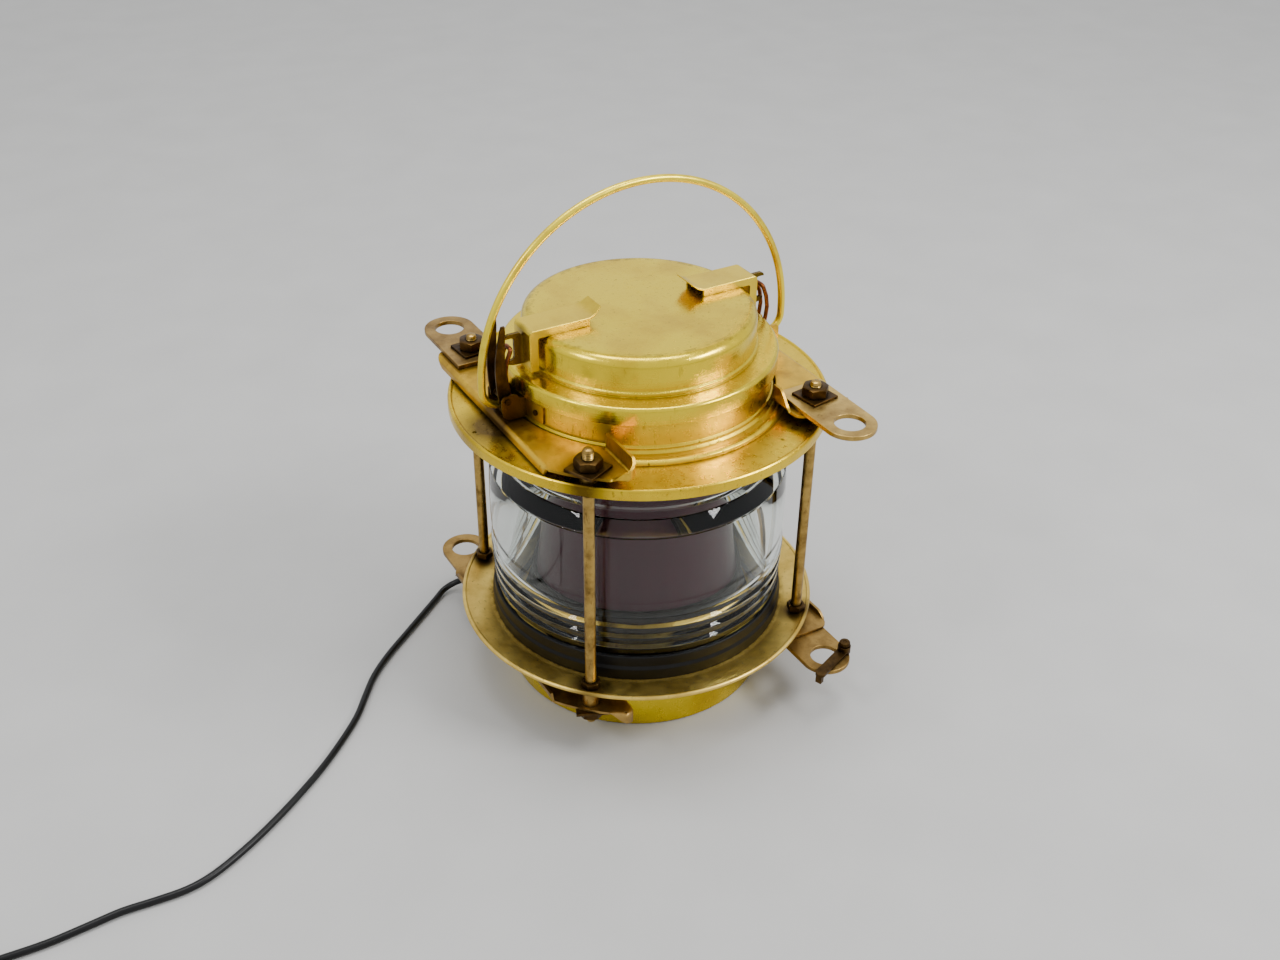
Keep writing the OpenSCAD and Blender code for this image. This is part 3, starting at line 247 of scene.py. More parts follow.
def turned(name, outline, body, stands_for=(), segments=240, wave=0.0, wave_mm=60):
    """Turns an outline in mm; wave moves the sheet along its normal by up to wave mm."""
    rows = []
    build = bmesh.new()
    for k in range(segments):
        angle = 2 * math.pi * k / segments
        rows.append([build.verts.new((p[0] * math.cos(angle) * MM, p[0] * math.sin(angle) * MM,
                                      p[1] * MM)) for p in outline])
    for k in range(segments):
        here, there = rows[k], rows[(k + 1) % segments]
        for i in range(len(outline)):
            j = (i + 1) % len(outline)
            if outline[i][0] > 0 or outline[j][0] > 0:
                build.faces.new((here[i], there[i], there[j], here[j]))
    bmesh.ops.remove_doubles(build, verts=build.verts, dist=1e-7)
    bmesh.ops.dissolve_degenerate(build, edges=build.edges, dist=1e-8)
    bmesh.ops.recalc_face_normals(build, faces=build.faces)
    if wave:
        build.normal_update()
        for v in build.verts:
            v.co += Vector((v.co.x, v.co.y, 0)).normalized() * (
                wave * MM * noise.noise(v.co / (wave_mm * MM)))
    mesh = bpy.data.meshes.new(name)
    build.to_mesh(mesh)
    build.free()
    return piece(name, mesh, body, stands_for)


# %% Foot, flanges and neck
drum = turned("foot_drum", rounded([
    (95, 0, 0.3), (101, 0, 1.3), (101, 54.4, 0.2), (99.4, 54.4, 0.2), (99.4, 2), (95, 2, 0.3)]),
    "lamp_body", ["base_drum"])

DISH_Z = 54.4
roll_at = Vector((136.4, 59))
rolled = [tuple(roll_at + 1.8 * Vector((math.cos(math.radians(a)), math.sin(math.radians(a)))))
          for a in range(-125, 146, 15)]
dish = turned("rolled_dish", rounded(
    [(88, DISH_Z), (116, DISH_Z, 14)] + rolled + [(116, DISH_Z + 1.6, 14), (88, DISH_Z + 1.6)], 8),
    "lamp_body", ["lower_flange"])

top_flange = turned("top_flange", dense(rounded([
    (93, 236.5), (135.1, 236.5, 0.4), (136.1, 236.9, 0.4), (136.9, 235.5, 0.5),
    (136.9, 231.1, 0.3), (138.5, 231.1, 0.5), (138.5, 236.9, 0.9), (138.2, 238.3, 0.5),
    (137.2, 239.3, 0.8), (136, 239.1, 0.8), (135, 238.1, 0.6), (93, 238.1)]), 9),
    "lamp_body", ["upper_flange"])
# One small hole was drilled through its left side
drill = bpy.data.objects.new("drill", bpy.data.meshes.new("drill"))
build = bmesh.new()
bmesh.ops.create_cone(build, cap_ends=True, segments=24, radius1=1.6 * MM, radius2=1.6 * MM,
                      depth=8 * MM, matrix=Matrix.Translation((-130.8 * MM, 0, 237 * MM)))
build.to_mesh(drill.data)
build.free()
bpy.context.scene.collection.objects.link(drill)
drilled = top_flange.modifiers.new("drilled hole", "BOOLEAN")
drilled.object, drilled.operation = drill, "DIFFERENCE"
shown = top_flange.evaluated_get(bpy.context.evaluated_depsgraph_get())
solid = bpy.data.meshes.new_from_object(shown)
top_flange.modifiers.clear()
top_flange.data = solid
smooth(top_flange)
bpy.data.objects.remove(drill)

neck = turned("neck_ring", rounded([
    (94.4, 238.1), (108, 238.1, 0.2), (108.4, 239.3, 0.9), (108, 240.9, 1.2),
    (106.4, 242, 1.2), (104.4, 242.3, 0.9), (103, 241.7, 0.6), (99, 242.3, 0.8),
    (97.2, 243.9, 0.9), (97.2, 244.9, 0.2), (97.6, 245.5, 0.4), (97.2, 246.3, 0.4),
    (96, 247.1, 0.6), (96, 275.5, 0.4), (94.4, 275.5, 0.4)]),
    "lamp_body", ["neck"])
print("turned pieces so far:", [o.name for o in (drum, dish, top_flange, neck)])

# %% [markdown]
# ## Lid
# The lid was spun from one disc: cap, ledge and skirt. Its flat top is never quite flat.
# A slow wave of a few tenths of a millimetre, too small to see as shape, bends the
# reflections, which is how the eye knows old sheet metal from a computer drawing.

# %% Spin the lid
CAP_TOP, LEDGE = 304.5, 277.1
lid = turned("spun_lid", dense(rounded([
    (0, CAP_TOP), (83.5, CAP_TOP, 7), (83.5, LEDGE + 3.9, 0.7), (84.8, LEDGE + 3.2, 0.9),
    (84.8, LEDGE + 1.2, 0.8), (84.0, LEDGE, 0.5), (99.5, LEDGE, 2.8), (99.5, LEDGE - 13, 0.5),
    (97.9, LEDGE - 13, 0.4), (97.9, LEDGE - 1.6), (81.9, LEDGE - 1.6),
    (81.9, CAP_TOP - 1.6, 5.4), (0, CAP_TOP - 1.6)], 8), 6),
    "lid_assembly", ["lid"])
for v in lid.data.vertices:
    reach = math.hypot(v.co.x, v.co.y) / (83.5 * MM)
    v.co.z += 0.35 * MM * noise.noise(v.co / (45 * MM)) * max(0.0, 1 - reach ** 4)
lid.data.update()
print("lid vertices:", len(lid.data.vertices))

# %% [markdown]
# ## Glass and its rubber ring
# The glass is pressed: a smooth, slightly bulging belt at the height of the lamp, a
# shoulder above it, and prism rings at both ends. Light has to bend through its real
# thickness, so it is a closed solid with an inner and an outer wall, and the prism edges
# are fire-polished round. The same outline as in the frame is used, with those edges
# eased and the notches between the rings pressed deeper.

# %% Press the glass
LENS_Z, LENS_H = 62, 172
lower_half = [(109.2, 0, 0.8)]
for i in range(4):
    root, foot = 109.2 + 0.55 * i, 14 + 9.75 * i
    lower_half += [(root - 1.4, foot, 0.4), (root + 1.6, foot + 0.25 * 9.75, 1.6),
                   (root + 2.1, foot + 0.72 * 9.75, 1.4)]
belt_arc = (33 ** 2 + 1.2 ** 2) / 2.4
belt = [(112.6 - belt_arc + math.sqrt(belt_arc ** 2 - h * h), LENS_H / 2 - h)
        for h in (32.6 - 65.2 / 24 * k for k in range(25))]
# Above the belt the glass draws in over a wide sloping shoulder, which mirrors the lights
upper_half = [(102.4, 0, 0.8)]
for i in range(4):
    foot = 4 + 9.6 * i
    upper_half += [(101.4, foot, 0.4), (103.4, foot + 0.3 * 9.6, 1.4),
                   (104.4, foot + 0.82 * 9.6, 1.1)]
upper_half += [(101.8, 42.3, 0.4), (103, 42.9, 0.8), (111.2, 52.3, 0.4), (110.4, 52.8, 0.3)]
outline = [(97, 0, 0.8)] + lower_half + belt + [
    (corner[0], LENS_H - corner[1], *corner[2:]) for corner in reversed(upper_half)]
lens_outline = [p + Vector((0, LENS_Z)) for p in rounded(outline + [(97, LENS_H, 0.8)], 6)]
lens = turned("pressed_lens", lens_outline, "lamp_body", ["lens"], segments=320)
seat = turned("rubber_seat", rounded([
    (97, 56), (113.6, 56, 0.6), (113.6, 65, 1.6), (112.3, 67.6, 1.6), (112.3, 76, 1),
    (109.5, 76, 0.3), (109.5, 62), (97, 62)]), "lamp_body",
    ["lens_gasket_lower"])
print("lens outline points:", len(lens_outline))

# %% [markdown]
# ## Cut, bent and cast pieces
# Bars, eyes, straps, brackets and washers were cut, filed and bent. The frame has their
# shape with sharp edges. A copy of each node gets its edges rounded by a bevel, wide on
# the outside of a fold and narrow on a filed edge. The frame's own mesh is not touched.


# %% Round the edges of a copied node
def ease_in(value, start, end):
    """0 before start, 1 after end, and a smooth climb between them."""
    t = min(max((value - start) / (end - start), 0.0), 1.0)
    return t * t * (3 - 2 * t)


def eased(node, name, width, folds=None, fold_width=0.0):
    """A copy of a CAD node with bevelled edges; folds(a, b) picks the edges of a fold."""
    build = bmesh.new()
    build.from_mesh(nodes[node].data)
    bmesh.ops.remove_doubles(build, verts=build.verts, dist=2e-6)
    bmesh.ops.dissolve_limit(build, angle_limit=math.radians(1.5), verts=build.verts,
                             edges=build.edges)
    bmesh.ops.recalc_face_normals(build, faces=build.faces)
    widest = max(width, fold_width)
    weight = build.edges.layers.float.new("bevel_weight_edge")
    for edge in build.edges:
        if len(edge.link_faces) == 2 and edge.calc_face_angle(0) > math.radians(24):
            ends = [v.co / MM for v in edge.verts]
            wide = folds is not None and folds(*ends)
            edge[weight] = (fold_width if wide else width) / widest
    mesh = bpy.data.meshes.new(name)
    build.to_mesh(mesh)
    build.free()
    made = piece(name, mesh, nodes[node]["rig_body"], [node])
    bevel = made.modifiers.new("eased edges", "BEVEL")
    bevel.limit_method, bevel.width, bevel.segments = "WEIGHT", widest * MM, 2
    bevel.use_clamp_overlap = True
    made.modifiers.new("flat faces stay flat", "WEIGHTED_NORMAL").keep_sharp = True
    shown = made.evaluated_get(bpy.context.evaluated_depsgraph_get())
    solid = bpy.data.meshes.new_from_object(shown)
    made.modifiers.clear()
    made.data = solid
    return made


# %% Ease every cut and bent piece
EASED = {
    "guide_eye_upper_left": 0.7, "guide_eye_upper_right": 0.7,
    "guide_eye_lower_left": 0.7, "guide_eye_lower_right": 0.7, "square_washers": 0.3,
    "latch_lever": 0.3, "bracket_left": 0.3, "bracket_right": 0.3, "wire_lock": 0.4,
    "plug_body": 1.2,
}
made_of = {}
for node, width in EASED.items():
    made_of[node] = eased(node, "eased_" + node, width)


def strap_fold(a, b):
    """The two folds of a strap, along its top and down its leg."""
    outside = min(a.z, b.z) > 310 or min(abs(a.x), abs(b.x)) > 91.9
    bend = min(a.z, b.z) > 307.4 and min(abs(a.x), abs(b.x)) > 88.9
    return min(abs(a.y), abs(b.y)) > 11.9 and (outside or bend)


for side in ("left", "right"):
    node = "strap_" + side
    made_of[node] = eased(node, "folded_" + node, 0.25, strap_fold, 1.2)
    for v in made_of[node].data.vertices:
        v.co.y *= 1 - 0.22 * ease_in(-abs(v.co.x) / MM, -45, -36)
print("eased pieces:", len(made_of))

# %% [markdown]
# ## Cross bars
# A cross bar is a plate whose edges were hammered over: up along the neck and round the
# short end, down along the outer edge. Such a bend has no sharp corner. The plate's outline
# is walked point by point, each point knows how high its edge is folded, and the sheet gets
# its thickness last.

# %% Fold the cross bars from sheet
# Sizes of the middle of the sheet, half its thickness inside the real faces
BAR_IN, BAR_OUT, BAR_LONG, BAR_TRIM, BAR_T = 67.3, 114.3, 105.0, 137.5, 2.0
LIP, OUTER_LIP, FOLD = 12.9, 5.4, 2.6


def bar_edge(clear_r):
    """Outline of the bar on the +X side, as (x, y, height of the folded edge)."""
    reach = math.sqrt(clear_r ** 2 - BAR_IN ** 2)
    half_angle = math.atan2(reach, BAR_IN)
    edge = []
    for k in range(49):
        a = half_angle * (k / 24 - 1)
        edge.append((clear_r * math.cos(a), clear_r * math.sin(a), 0.0))
    end = math.sqrt(BAR_TRIM ** 2 - (BAR_IN + 7) ** 2)
    steps = 30
    for k in range(1, steps + 1):
        y = reach + (end - 8 - reach) * k / steps
        edge.append((BAR_IN, y, LIP * ease_in(y, reach, reach + 0.6)))
    for k in range(1, 13):
        a = math.pi - math.pi / 2 * k / 12
        edge.append((BAR_IN + 8 + 8 * math.cos(a), end - 8 + 8 * math.sin(a),
                     LIP * (1 - 0.45 * k / 12)))
    first = math.atan2(end, BAR_IN + 8)
    last = math.atan2(math.sqrt(BAR_TRIM ** 2 - BAR_OUT ** 2), BAR_OUT)
    for k in range(1, 31):
        a = first + (last - first) * k / 30
        edge.append((BAR_TRIM * math.cos(a), BAR_TRIM * math.sin(a),
                     0.55 * LIP * (1 - ease_in(k / 30, 0.0, 0.22))))
    for k in range(1, 60):
        y = edge[-1][1] - (edge[-1][1] + BAR_LONG - 8) / (60 - k)
        edge.append((BAR_OUT, y, -OUTER_LIP * ease_in(k, 0, 1) * ease_in(60 - k, 0, 3)))
    for k in range(1, 9):
        a = -math.pi / 2 * k / 8
        edge.append((BAR_OUT - 8 + 8 * math.cos(a), -BAR_LONG + 8 + 8 * math.sin(a), 0.0))
    edge += [(BAR_OUT - 8 - (BAR_OUT - BAR_IN - 16) * k / 10, -BAR_LONG, 0.0)
             for k in range(1, 10)]
    for k in range(9):
        a = -math.pi / 2 - math.pi / 2 * k / 8
        edge.append((BAR_IN + 8 + 8 * math.cos(a), -BAR_LONG + 8 + 8 * math.sin(a), 0.0))
    for k in range(1, 20):
        y = -BAR_LONG + 8 + (BAR_LONG - 8 - reach) * k / 20
        edge.append((BAR_IN, y, LIP * ease_in(y, -BAR_LONG + 9, -BAR_LONG + 24)
                     * (1 - ease_in(y, -reach - 0.6, -reach))))
    return edge


def folded_bar(name, node, clear_r, side, low):
    """A sheet bar with folded edges; low bars hang upside down below the lower flange."""
    edge = bar_edge(clear_r)
    build = bmesh.new()
    rings = []
    for i, (x, y, high) in enumerate(edge):
        back = Vector(edge[i - 1][:2])
        on = Vector(edge[(i + 1) % len(edge)][:2])
        along = (on - back).normalized()
        inward = Vector((along.y, -along.x))
        ring = []
        for k in range(7):
            t = math.pi / 2 * k / 6
            spot = Vector((x, y)) + inward * FOLD * (1 - math.sin(t))
            rise = FOLD * (1 - math.cos(t)) * max(-1.0, min(1.0, high / FOLD))
            ring.append(build.verts.new((spot.x, spot.y, rise)))
        if abs(high) > FOLD:
            ring.append(build.verts.new((x, y, high)))
        rings.append(ring)
    for i, here in enumerate(rings):
        there = rings[(i + 1) % len(rings)]
        for k in range(6):
            build.faces.new((here[k], here[k + 1], there[k + 1], there[k]))
        if len(here) == 8 and len(there) == 8:
            build.faces.new((here[6], here[7], there[7], there[6]))
        elif len(here) == 8:
            build.faces.new((here[6], here[7], there[6]))
        elif len(there) == 8:
            build.faces.new((here[6], there[7], there[6]))
    loops = [build.edges.get((rings[i][0], rings[(i + 1) % len(rings)][0]))
             for i in range(len(rings))]
    for s in (-1, 1):
        hole = [build.verts.new((ROD_XY + 4.15 * math.cos(math.tau * k / 24),
                                 s * ROD_XY + 4.15 * math.sin(math.tau * k / 24), 0))
                for k in range(24)]
        loops += [build.edges.new((hole[k], hole[(k + 1) % 24])) for k in range(24)]
    bmesh.ops.triangle_fill(build, use_beauty=True, edges=loops)
    bmesh.ops.recalc_face_normals(build, faces=build.faces)
    turn = -1 if side == "left" else 1
    for v in build.verts:
        up = 44.4 - 1 - v.co.z if low else 244.5 + 1 + v.co.z
        v.co = Vector((turn * v.co.x, turn * v.co.y, up)) * MM
    mesh = bpy.data.meshes.new(name)
    build.to_mesh(mesh)
    build.free()
    made = piece(name, mesh, "lamp_body", [node])
    sheet = made.modifiers.new("sheet thickness", "SOLIDIFY")
    sheet.thickness, sheet.offset = BAR_T * MM, 0.0
    filed = made.modifiers.new("filed edges", "BEVEL")
    filed.width, filed.segments, filed.limit_method = 0.3 * MM, 2, "ANGLE"
    filed.angle_limit = math.radians(50)
    made.modifiers.new("flat faces stay flat", "WEIGHTED_NORMAL").keep_sharp = True
    shown = made.evaluated_get(bpy.context.evaluated_depsgraph_get())
    solid = bpy.data.meshes.new_from_object(shown)
    made.modifiers.clear()
    made.data = solid
    return made


ROD_XY = 128.4 * math.cos(math.pi / 4)
for side in ("left", "right"):
    for level_name, clear, low in (("upper", 99.4, False), ("lower", 102.3, True)):
        node = level_name + "_bar_" + side
        made_of[node] = folded_bar("folded_" + node, node, clear, side, low)
print("cross bars:", [made_of[level + side].name for level in ("upper_bar_", "lower_bar_")
                      for side in ("left", "right")])

# %% [markdown]
# ## Nuts, rods and the knurled knob
# A real nut is a hexagon whose corners were turned off at thirty degrees, which leaves the
# curved shine at its top. The height of each point follows from how far it stands outside
# the turned circle, so no cutting is needed.


# %% Hexagon nuts
def nuts(name, places, flats, height, bore, stands_for):
    """Nuts at (x, y, z, turn in degrees), with both faces chamfered."""
    build = bmesh.new()
    flat = flats / 2 * MM
    for x, y, z, turn in places:
        rings = []
        for k in range(72):
            angle = math.radians(5 * k)
            corner = flat / math.cos((angle + math.pi / 6) % (math.pi / 3) - math.pi / 6)
            drop = max(0.0, corner - flat * 0.97) * math.tan(math.radians(30))
            high = height * MM
            profile = [(bore * MM, 0.5 * MM), (bore * MM + 0.5 * MM, 0), (flat * 0.97, 0),
                       (corner, drop), (corner, high - drop), (flat * 0.97, high),
                       (bore * MM + 0.5 * MM, high), (bore * MM, high - 0.5 * MM)]
            around = angle + math.radians(turn)
            rings.append([build.verts.new((x * MM + r * math.cos(around),
                                           y * MM + r * math.sin(around), z * MM + h))
                          for r, h in profile])
        for k in range(72):
            here, there = rings[k], rings[(k + 1) % 72]
            for i in range(8):
                j = (i + 1) % 8
                build.faces.new((here[i], there[i], there[j], here[j]))
    mesh = bpy.data.meshes.new(name)
    build.to_mesh(mesh)
    build.free()
    return piece(name, mesh, "lamp_body", stands_for)


RODS = [(-1, -1, False), (1, -1, True), (1, 1, False), (-1, 1, True)]
end_places, flange_places = [], []
for i, (sx, sy, eye) in enumerate(RODS):
    x, y = sx * ROD_XY, sy * ROD_XY
    end_places += [(x, y, (250 if eye else 246.5) + 2, 12 * i),
                   (x, y, (38.9 if eye else 42.4) - 2 - 7, 17 * i)]
    flange_places += [(x, y, 59.8, 15 * sx * sy), (x, y, 231.5, 15 * sx * sy)]
end_nuts = nuts("chamfered_end_nuts", end_places, 17, 7, 4.1, ["rod_end_nuts"])
foot_nuts = nuts("chamfered_foot_nuts", flange_places, 12.4, 5, 4.1,
                 ["flange_nuts"])
print("nuts:", len(end_places) + len(flange_places))

# %% Threaded rods with domed ends
rod_low, rod_high, thread = 25.9, 263, 1.25
rod_outline = [Vector((0, rod_low)), Vector((2.2, rod_low + 0.2)), Vector((3.3, rod_low + 0.9))]
z = rod_low + 1.5
while z < 53:
    rod_outline += [Vector((3.45, z)), Vector((4, z + thread / 2))]
    z += thread
rod_outline += [Vector((4, z + 1)), Vector((4, 225))]
z = 226
while z < rod_high - 2:
    rod_outline += [Vector((3.45, z)), Vector((4, z + thread / 2))]
    z += thread
rod_outline += [Vector((3.4, rod_high - 1)), Vector((2.2, rod_high - 0.2)),
                Vector((0, rod_high))]
build = bmesh.new()
for sx, sy, _ in RODS:
    rows = [[build.verts.new(((sx * ROD_XY + p.x * math.cos(a)) * MM,
                              (sy * ROD_XY + p.x * math.sin(a)) * MM, p.y * MM))
             for p in rod_outline] for a in (math.tau * k / 28 for k in range(28))]
    for k in range(28):
        for i in range(len(rod_outline) - 1):
            build.faces.new((rows[k][i], rows[(k + 1) % 28][i], rows[(k + 1) % 28][i + 1],
                             rows[k][i + 1]))
bmesh.ops.remove_doubles(build, verts=build.verts, dist=1e-7)
bmesh.ops.dissolve_degenerate(build, edges=build.edges, dist=1e-8)
bmesh.ops.recalc_face_normals(build, faces=build.faces)
mesh = bpy.data.meshes.new("threaded_rods")
build.to_mesh(mesh)
build.free()
rods = piece("threaded_rods", mesh, "lamp_body", ["guard_rods"])
print("rod outline points:", len(rod_outline))

# %% [markdown]
# ## Wire links
# Each link is one piece of wire bent into a loop. It is drawn as the smith bends it: a
# line of straight parts with a small radius at each bend, given the wire's thickness.


# %% Bend the links
def bent(points, radius, steps=6):
    """A line in space with every corner rounded to about the radius."""
    points = [Vector(p) for p in points]
    line = [points[0]]
    for a, here, b in zip(points, points[1:], points[2:]):
        back, on = a - here, b - here
        half_angle = back.angle(on) / 2
        cut = min(radius / math.tan(half_angle), 0.45 * back.length, 0.45 * on.length)
        first, last = here + back.normalized() * cut, here + on.normalized() * cut
        for k in range(steps + 1):
            t = k / steps
            line.append(first.lerp(here, t).lerp(here.lerp(last, t), t))
    return line + [points[-1]]


bow = [(106.8, 272.1), (107.5, 279.1), (106.1, 288), (102.5, 297)]
for side, sign, foot, out in (("left", -1, (104.6, 259.4), 7.8),
                              ("right", 1, (105.2, 263.2), 4.2)):
    leg = [foot] + bow
    points = [(x, -4.2, z) for x, z in leg] + [(x, 4.2, z) for x, z in reversed(leg)]
    if out > 4.2:
        points = [(foot[0], -out, foot[1])] + points + [(foot[0], out, foot[1])]
    line = [(sign * p.x, sign * p.y, p.z) for p in bent(points, 2.4)]
    made_of["link_" + side] = wire("bent_link_" + side, line, 3.2, side + "_link")
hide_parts("link_left")
build = bmesh.new()
for y in (-4.2, 4.2):
    rows = []
    for k in range(36):
        a = math.radians(10 * k)
        section = [(1.4, -1.1), (2.6, -1.25), (2.8, -0.9), (2.8, 0.9), (2.6, 1.25), (1.4, 1.1)]
        rows.append([build.verts.new(((105.2 + r * math.cos(a)) * MM, (y + w) * MM,
                                      (263.2 + r * math.sin(a)) * MM)) for r, w in section])
    for k in range(36):
        for i in range(6):
            build.faces.new((rows[k][i], rows[(k + 1) % 36][i], rows[(k + 1) % 36][(i + 1) % 6],
                             rows[k][(i + 1) % 6]))
bmesh.ops.recalc_face_normals(build, faces=build.faces)
mesh = bpy.data.meshes.new("right_link_eyes")
build.to_mesh(mesh)
build.free()
link_eyes = piece("right_link_eyes", mesh, "right_link", ["link_right"])
link_eyes.data.update()
print("links:", [made_of["link_left"].name, made_of["link_right"].name])

# %% [markdown]
# ### Bail
# The bail is one length of round wire: a half circle, a short straight run, a bend and a
# foot that reaches into the bracket, where its end is upset into a head. The frame has
# the same wire, but cut into flat facets that a polished wire would show as a row of
# beads, so its line is drawn again here with finer steps.

# %% Bend the bail
BAIL_R, BAIL_BEND, BAIL_FOOT = 123.5, 13.5, 104.4
half = [(BAIL_FOOT, 255)] + [
    (BAIL_R - BAIL_BEND + BAIL_BEND * math.sin(math.radians(6 * k)),
     255 + BAIL_BEND - BAIL_BEND * math.cos(math.radians(6 * k))) for k in range(16)]
arch = [(BAIL_R * math.cos(math.radians(2 * k)), 272 + BAIL_R * math.sin(math.radians(2 * k)))
        for k in range(91)]
line = [(x, 0, z) for x, z in half + arch] + [(-x, 0, z) for x, z in reversed(half)]
bail = wire("bent_bail", line, 5.5, "bail_handle")
build = bmesh.new()
build.from_mesh(bail.data)
for side in (-1, 1):
    # The upset head at the end of each foot
    bmesh.ops.create_cone(build, cap_ends=True, segments=32, radius1=3.8 * MM,
                          radius2=3.8 * MM, depth=1.6 * MM,
                          matrix=Matrix.Translation((side * (BAIL_FOOT + 0.8) * MM, 0, 255 * MM))
                          @ Matrix.Rotation(math.radians(90), 4, "Y"))
build.to_mesh(bail.data)
build.free()
bail.data.set_sharp_from_angle(angle=math.radians(50))
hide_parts("bail")
print("bail faces:", len(bail.data.polygons))

# %% Knurled knob of the wire lock
LOCK_XY = (ROD_XY + 15, -131.5 - 4)
knob_outline = [(0, 35.9), (2.9, 35.9), (3.4, 36.4), (3.4, 38.4), (2, 38.7), (2, 49),
                (3.7, 49), (4.2, 49.5), (4.2, 51.7), (3.8, 52.3), (1.6, 52.4), (1.4, 52.0),
                (0, 52.0)]
build = bmesh.new()
rows = []
for k in range(120):
    a = math.tau * k / 120
    ring = []
    for r, z in knob_outline:
        if z >= 49.5 and r > 4:
            r -= 0.35 * (k % 5 in (0, 1))
        if z < 38.5 and r > 3:
            r = min(r, 3.1 / math.cos((a + math.pi / 6) % (math.pi / 3) - math.pi / 6))
        ring.append(build.verts.new(((LOCK_XY[0] + r * math.cos(a)) * MM,
                                     (LOCK_XY[1] + r * math.sin(a)) * MM, z * MM)))
    rows.append(ring)
for k in range(120):
    for i in range(len(knob_outline) - 1):
        build.faces.new((rows[k][i], rows[(k + 1) % 120][i], rows[(k + 1) % 120][i + 1],
                         rows[k][i + 1]))
bmesh.ops.remove_doubles(build, verts=build.verts, dist=1e-7)
bmesh.ops.dissolve_degenerate(build, edges=build.edges, dist=1e-8)
bmesh.ops.recalc_face_normals(build, faces=build.faces)
mesh = bpy.data.meshes.new("knurled_knob")
build.to_mesh(mesh)
build.free()
knob = piece("knurled_knob", mesh, "lamp_body", ["wire_lock_bolt"])

# %% [markdown]
# ## Finishes
# A finish starts from what the metal is. Brass is copper and zinc: bright straw yellow
# where it is rubbed, warmer gold where a thin oxide has grown, brown where heat and damp
# sat, and nearly black in corners, from soiling and painted shade together. A material is
# a small network of nodes, so one function adds a node with its settings and its links.


# %% Colour and node helpers
def linear(hex_colour):
    """An sRGB hex colour as the linear colour that Blender's sockets hold."""
    parts = [int(hex_colour[i:i + 2], 16) / 255 for i in (1, 3, 5)]
    return [*(p / 12.92 if p <= 0.04045 else ((p + 0.055) / 1.055) ** 2.4 for p in parts), 1.0]


def add(tree, kind, settings=None, links=None):
    """Adds a node: settings are attributes or input values, links are (node, output)."""
    made = tree.nodes.new(kind)
    for key, value in (settings or {}).items():
        if isinstance(key, str) and hasattr(made, key):
            setattr(made, key, value)
        else:
            made.inputs[key].default_value = value
    for key, (source, output) in (links or {}).items():
        tree.links.new(source.outputs[output], made.inputs[key])
    return made


def new_material(name):
    """An empty material and its node tree."""
    made = bpy.data.materials.new(name)
    made.use_nodes = True
    made.node_tree.nodes.clear()
    return made, made.node_tree
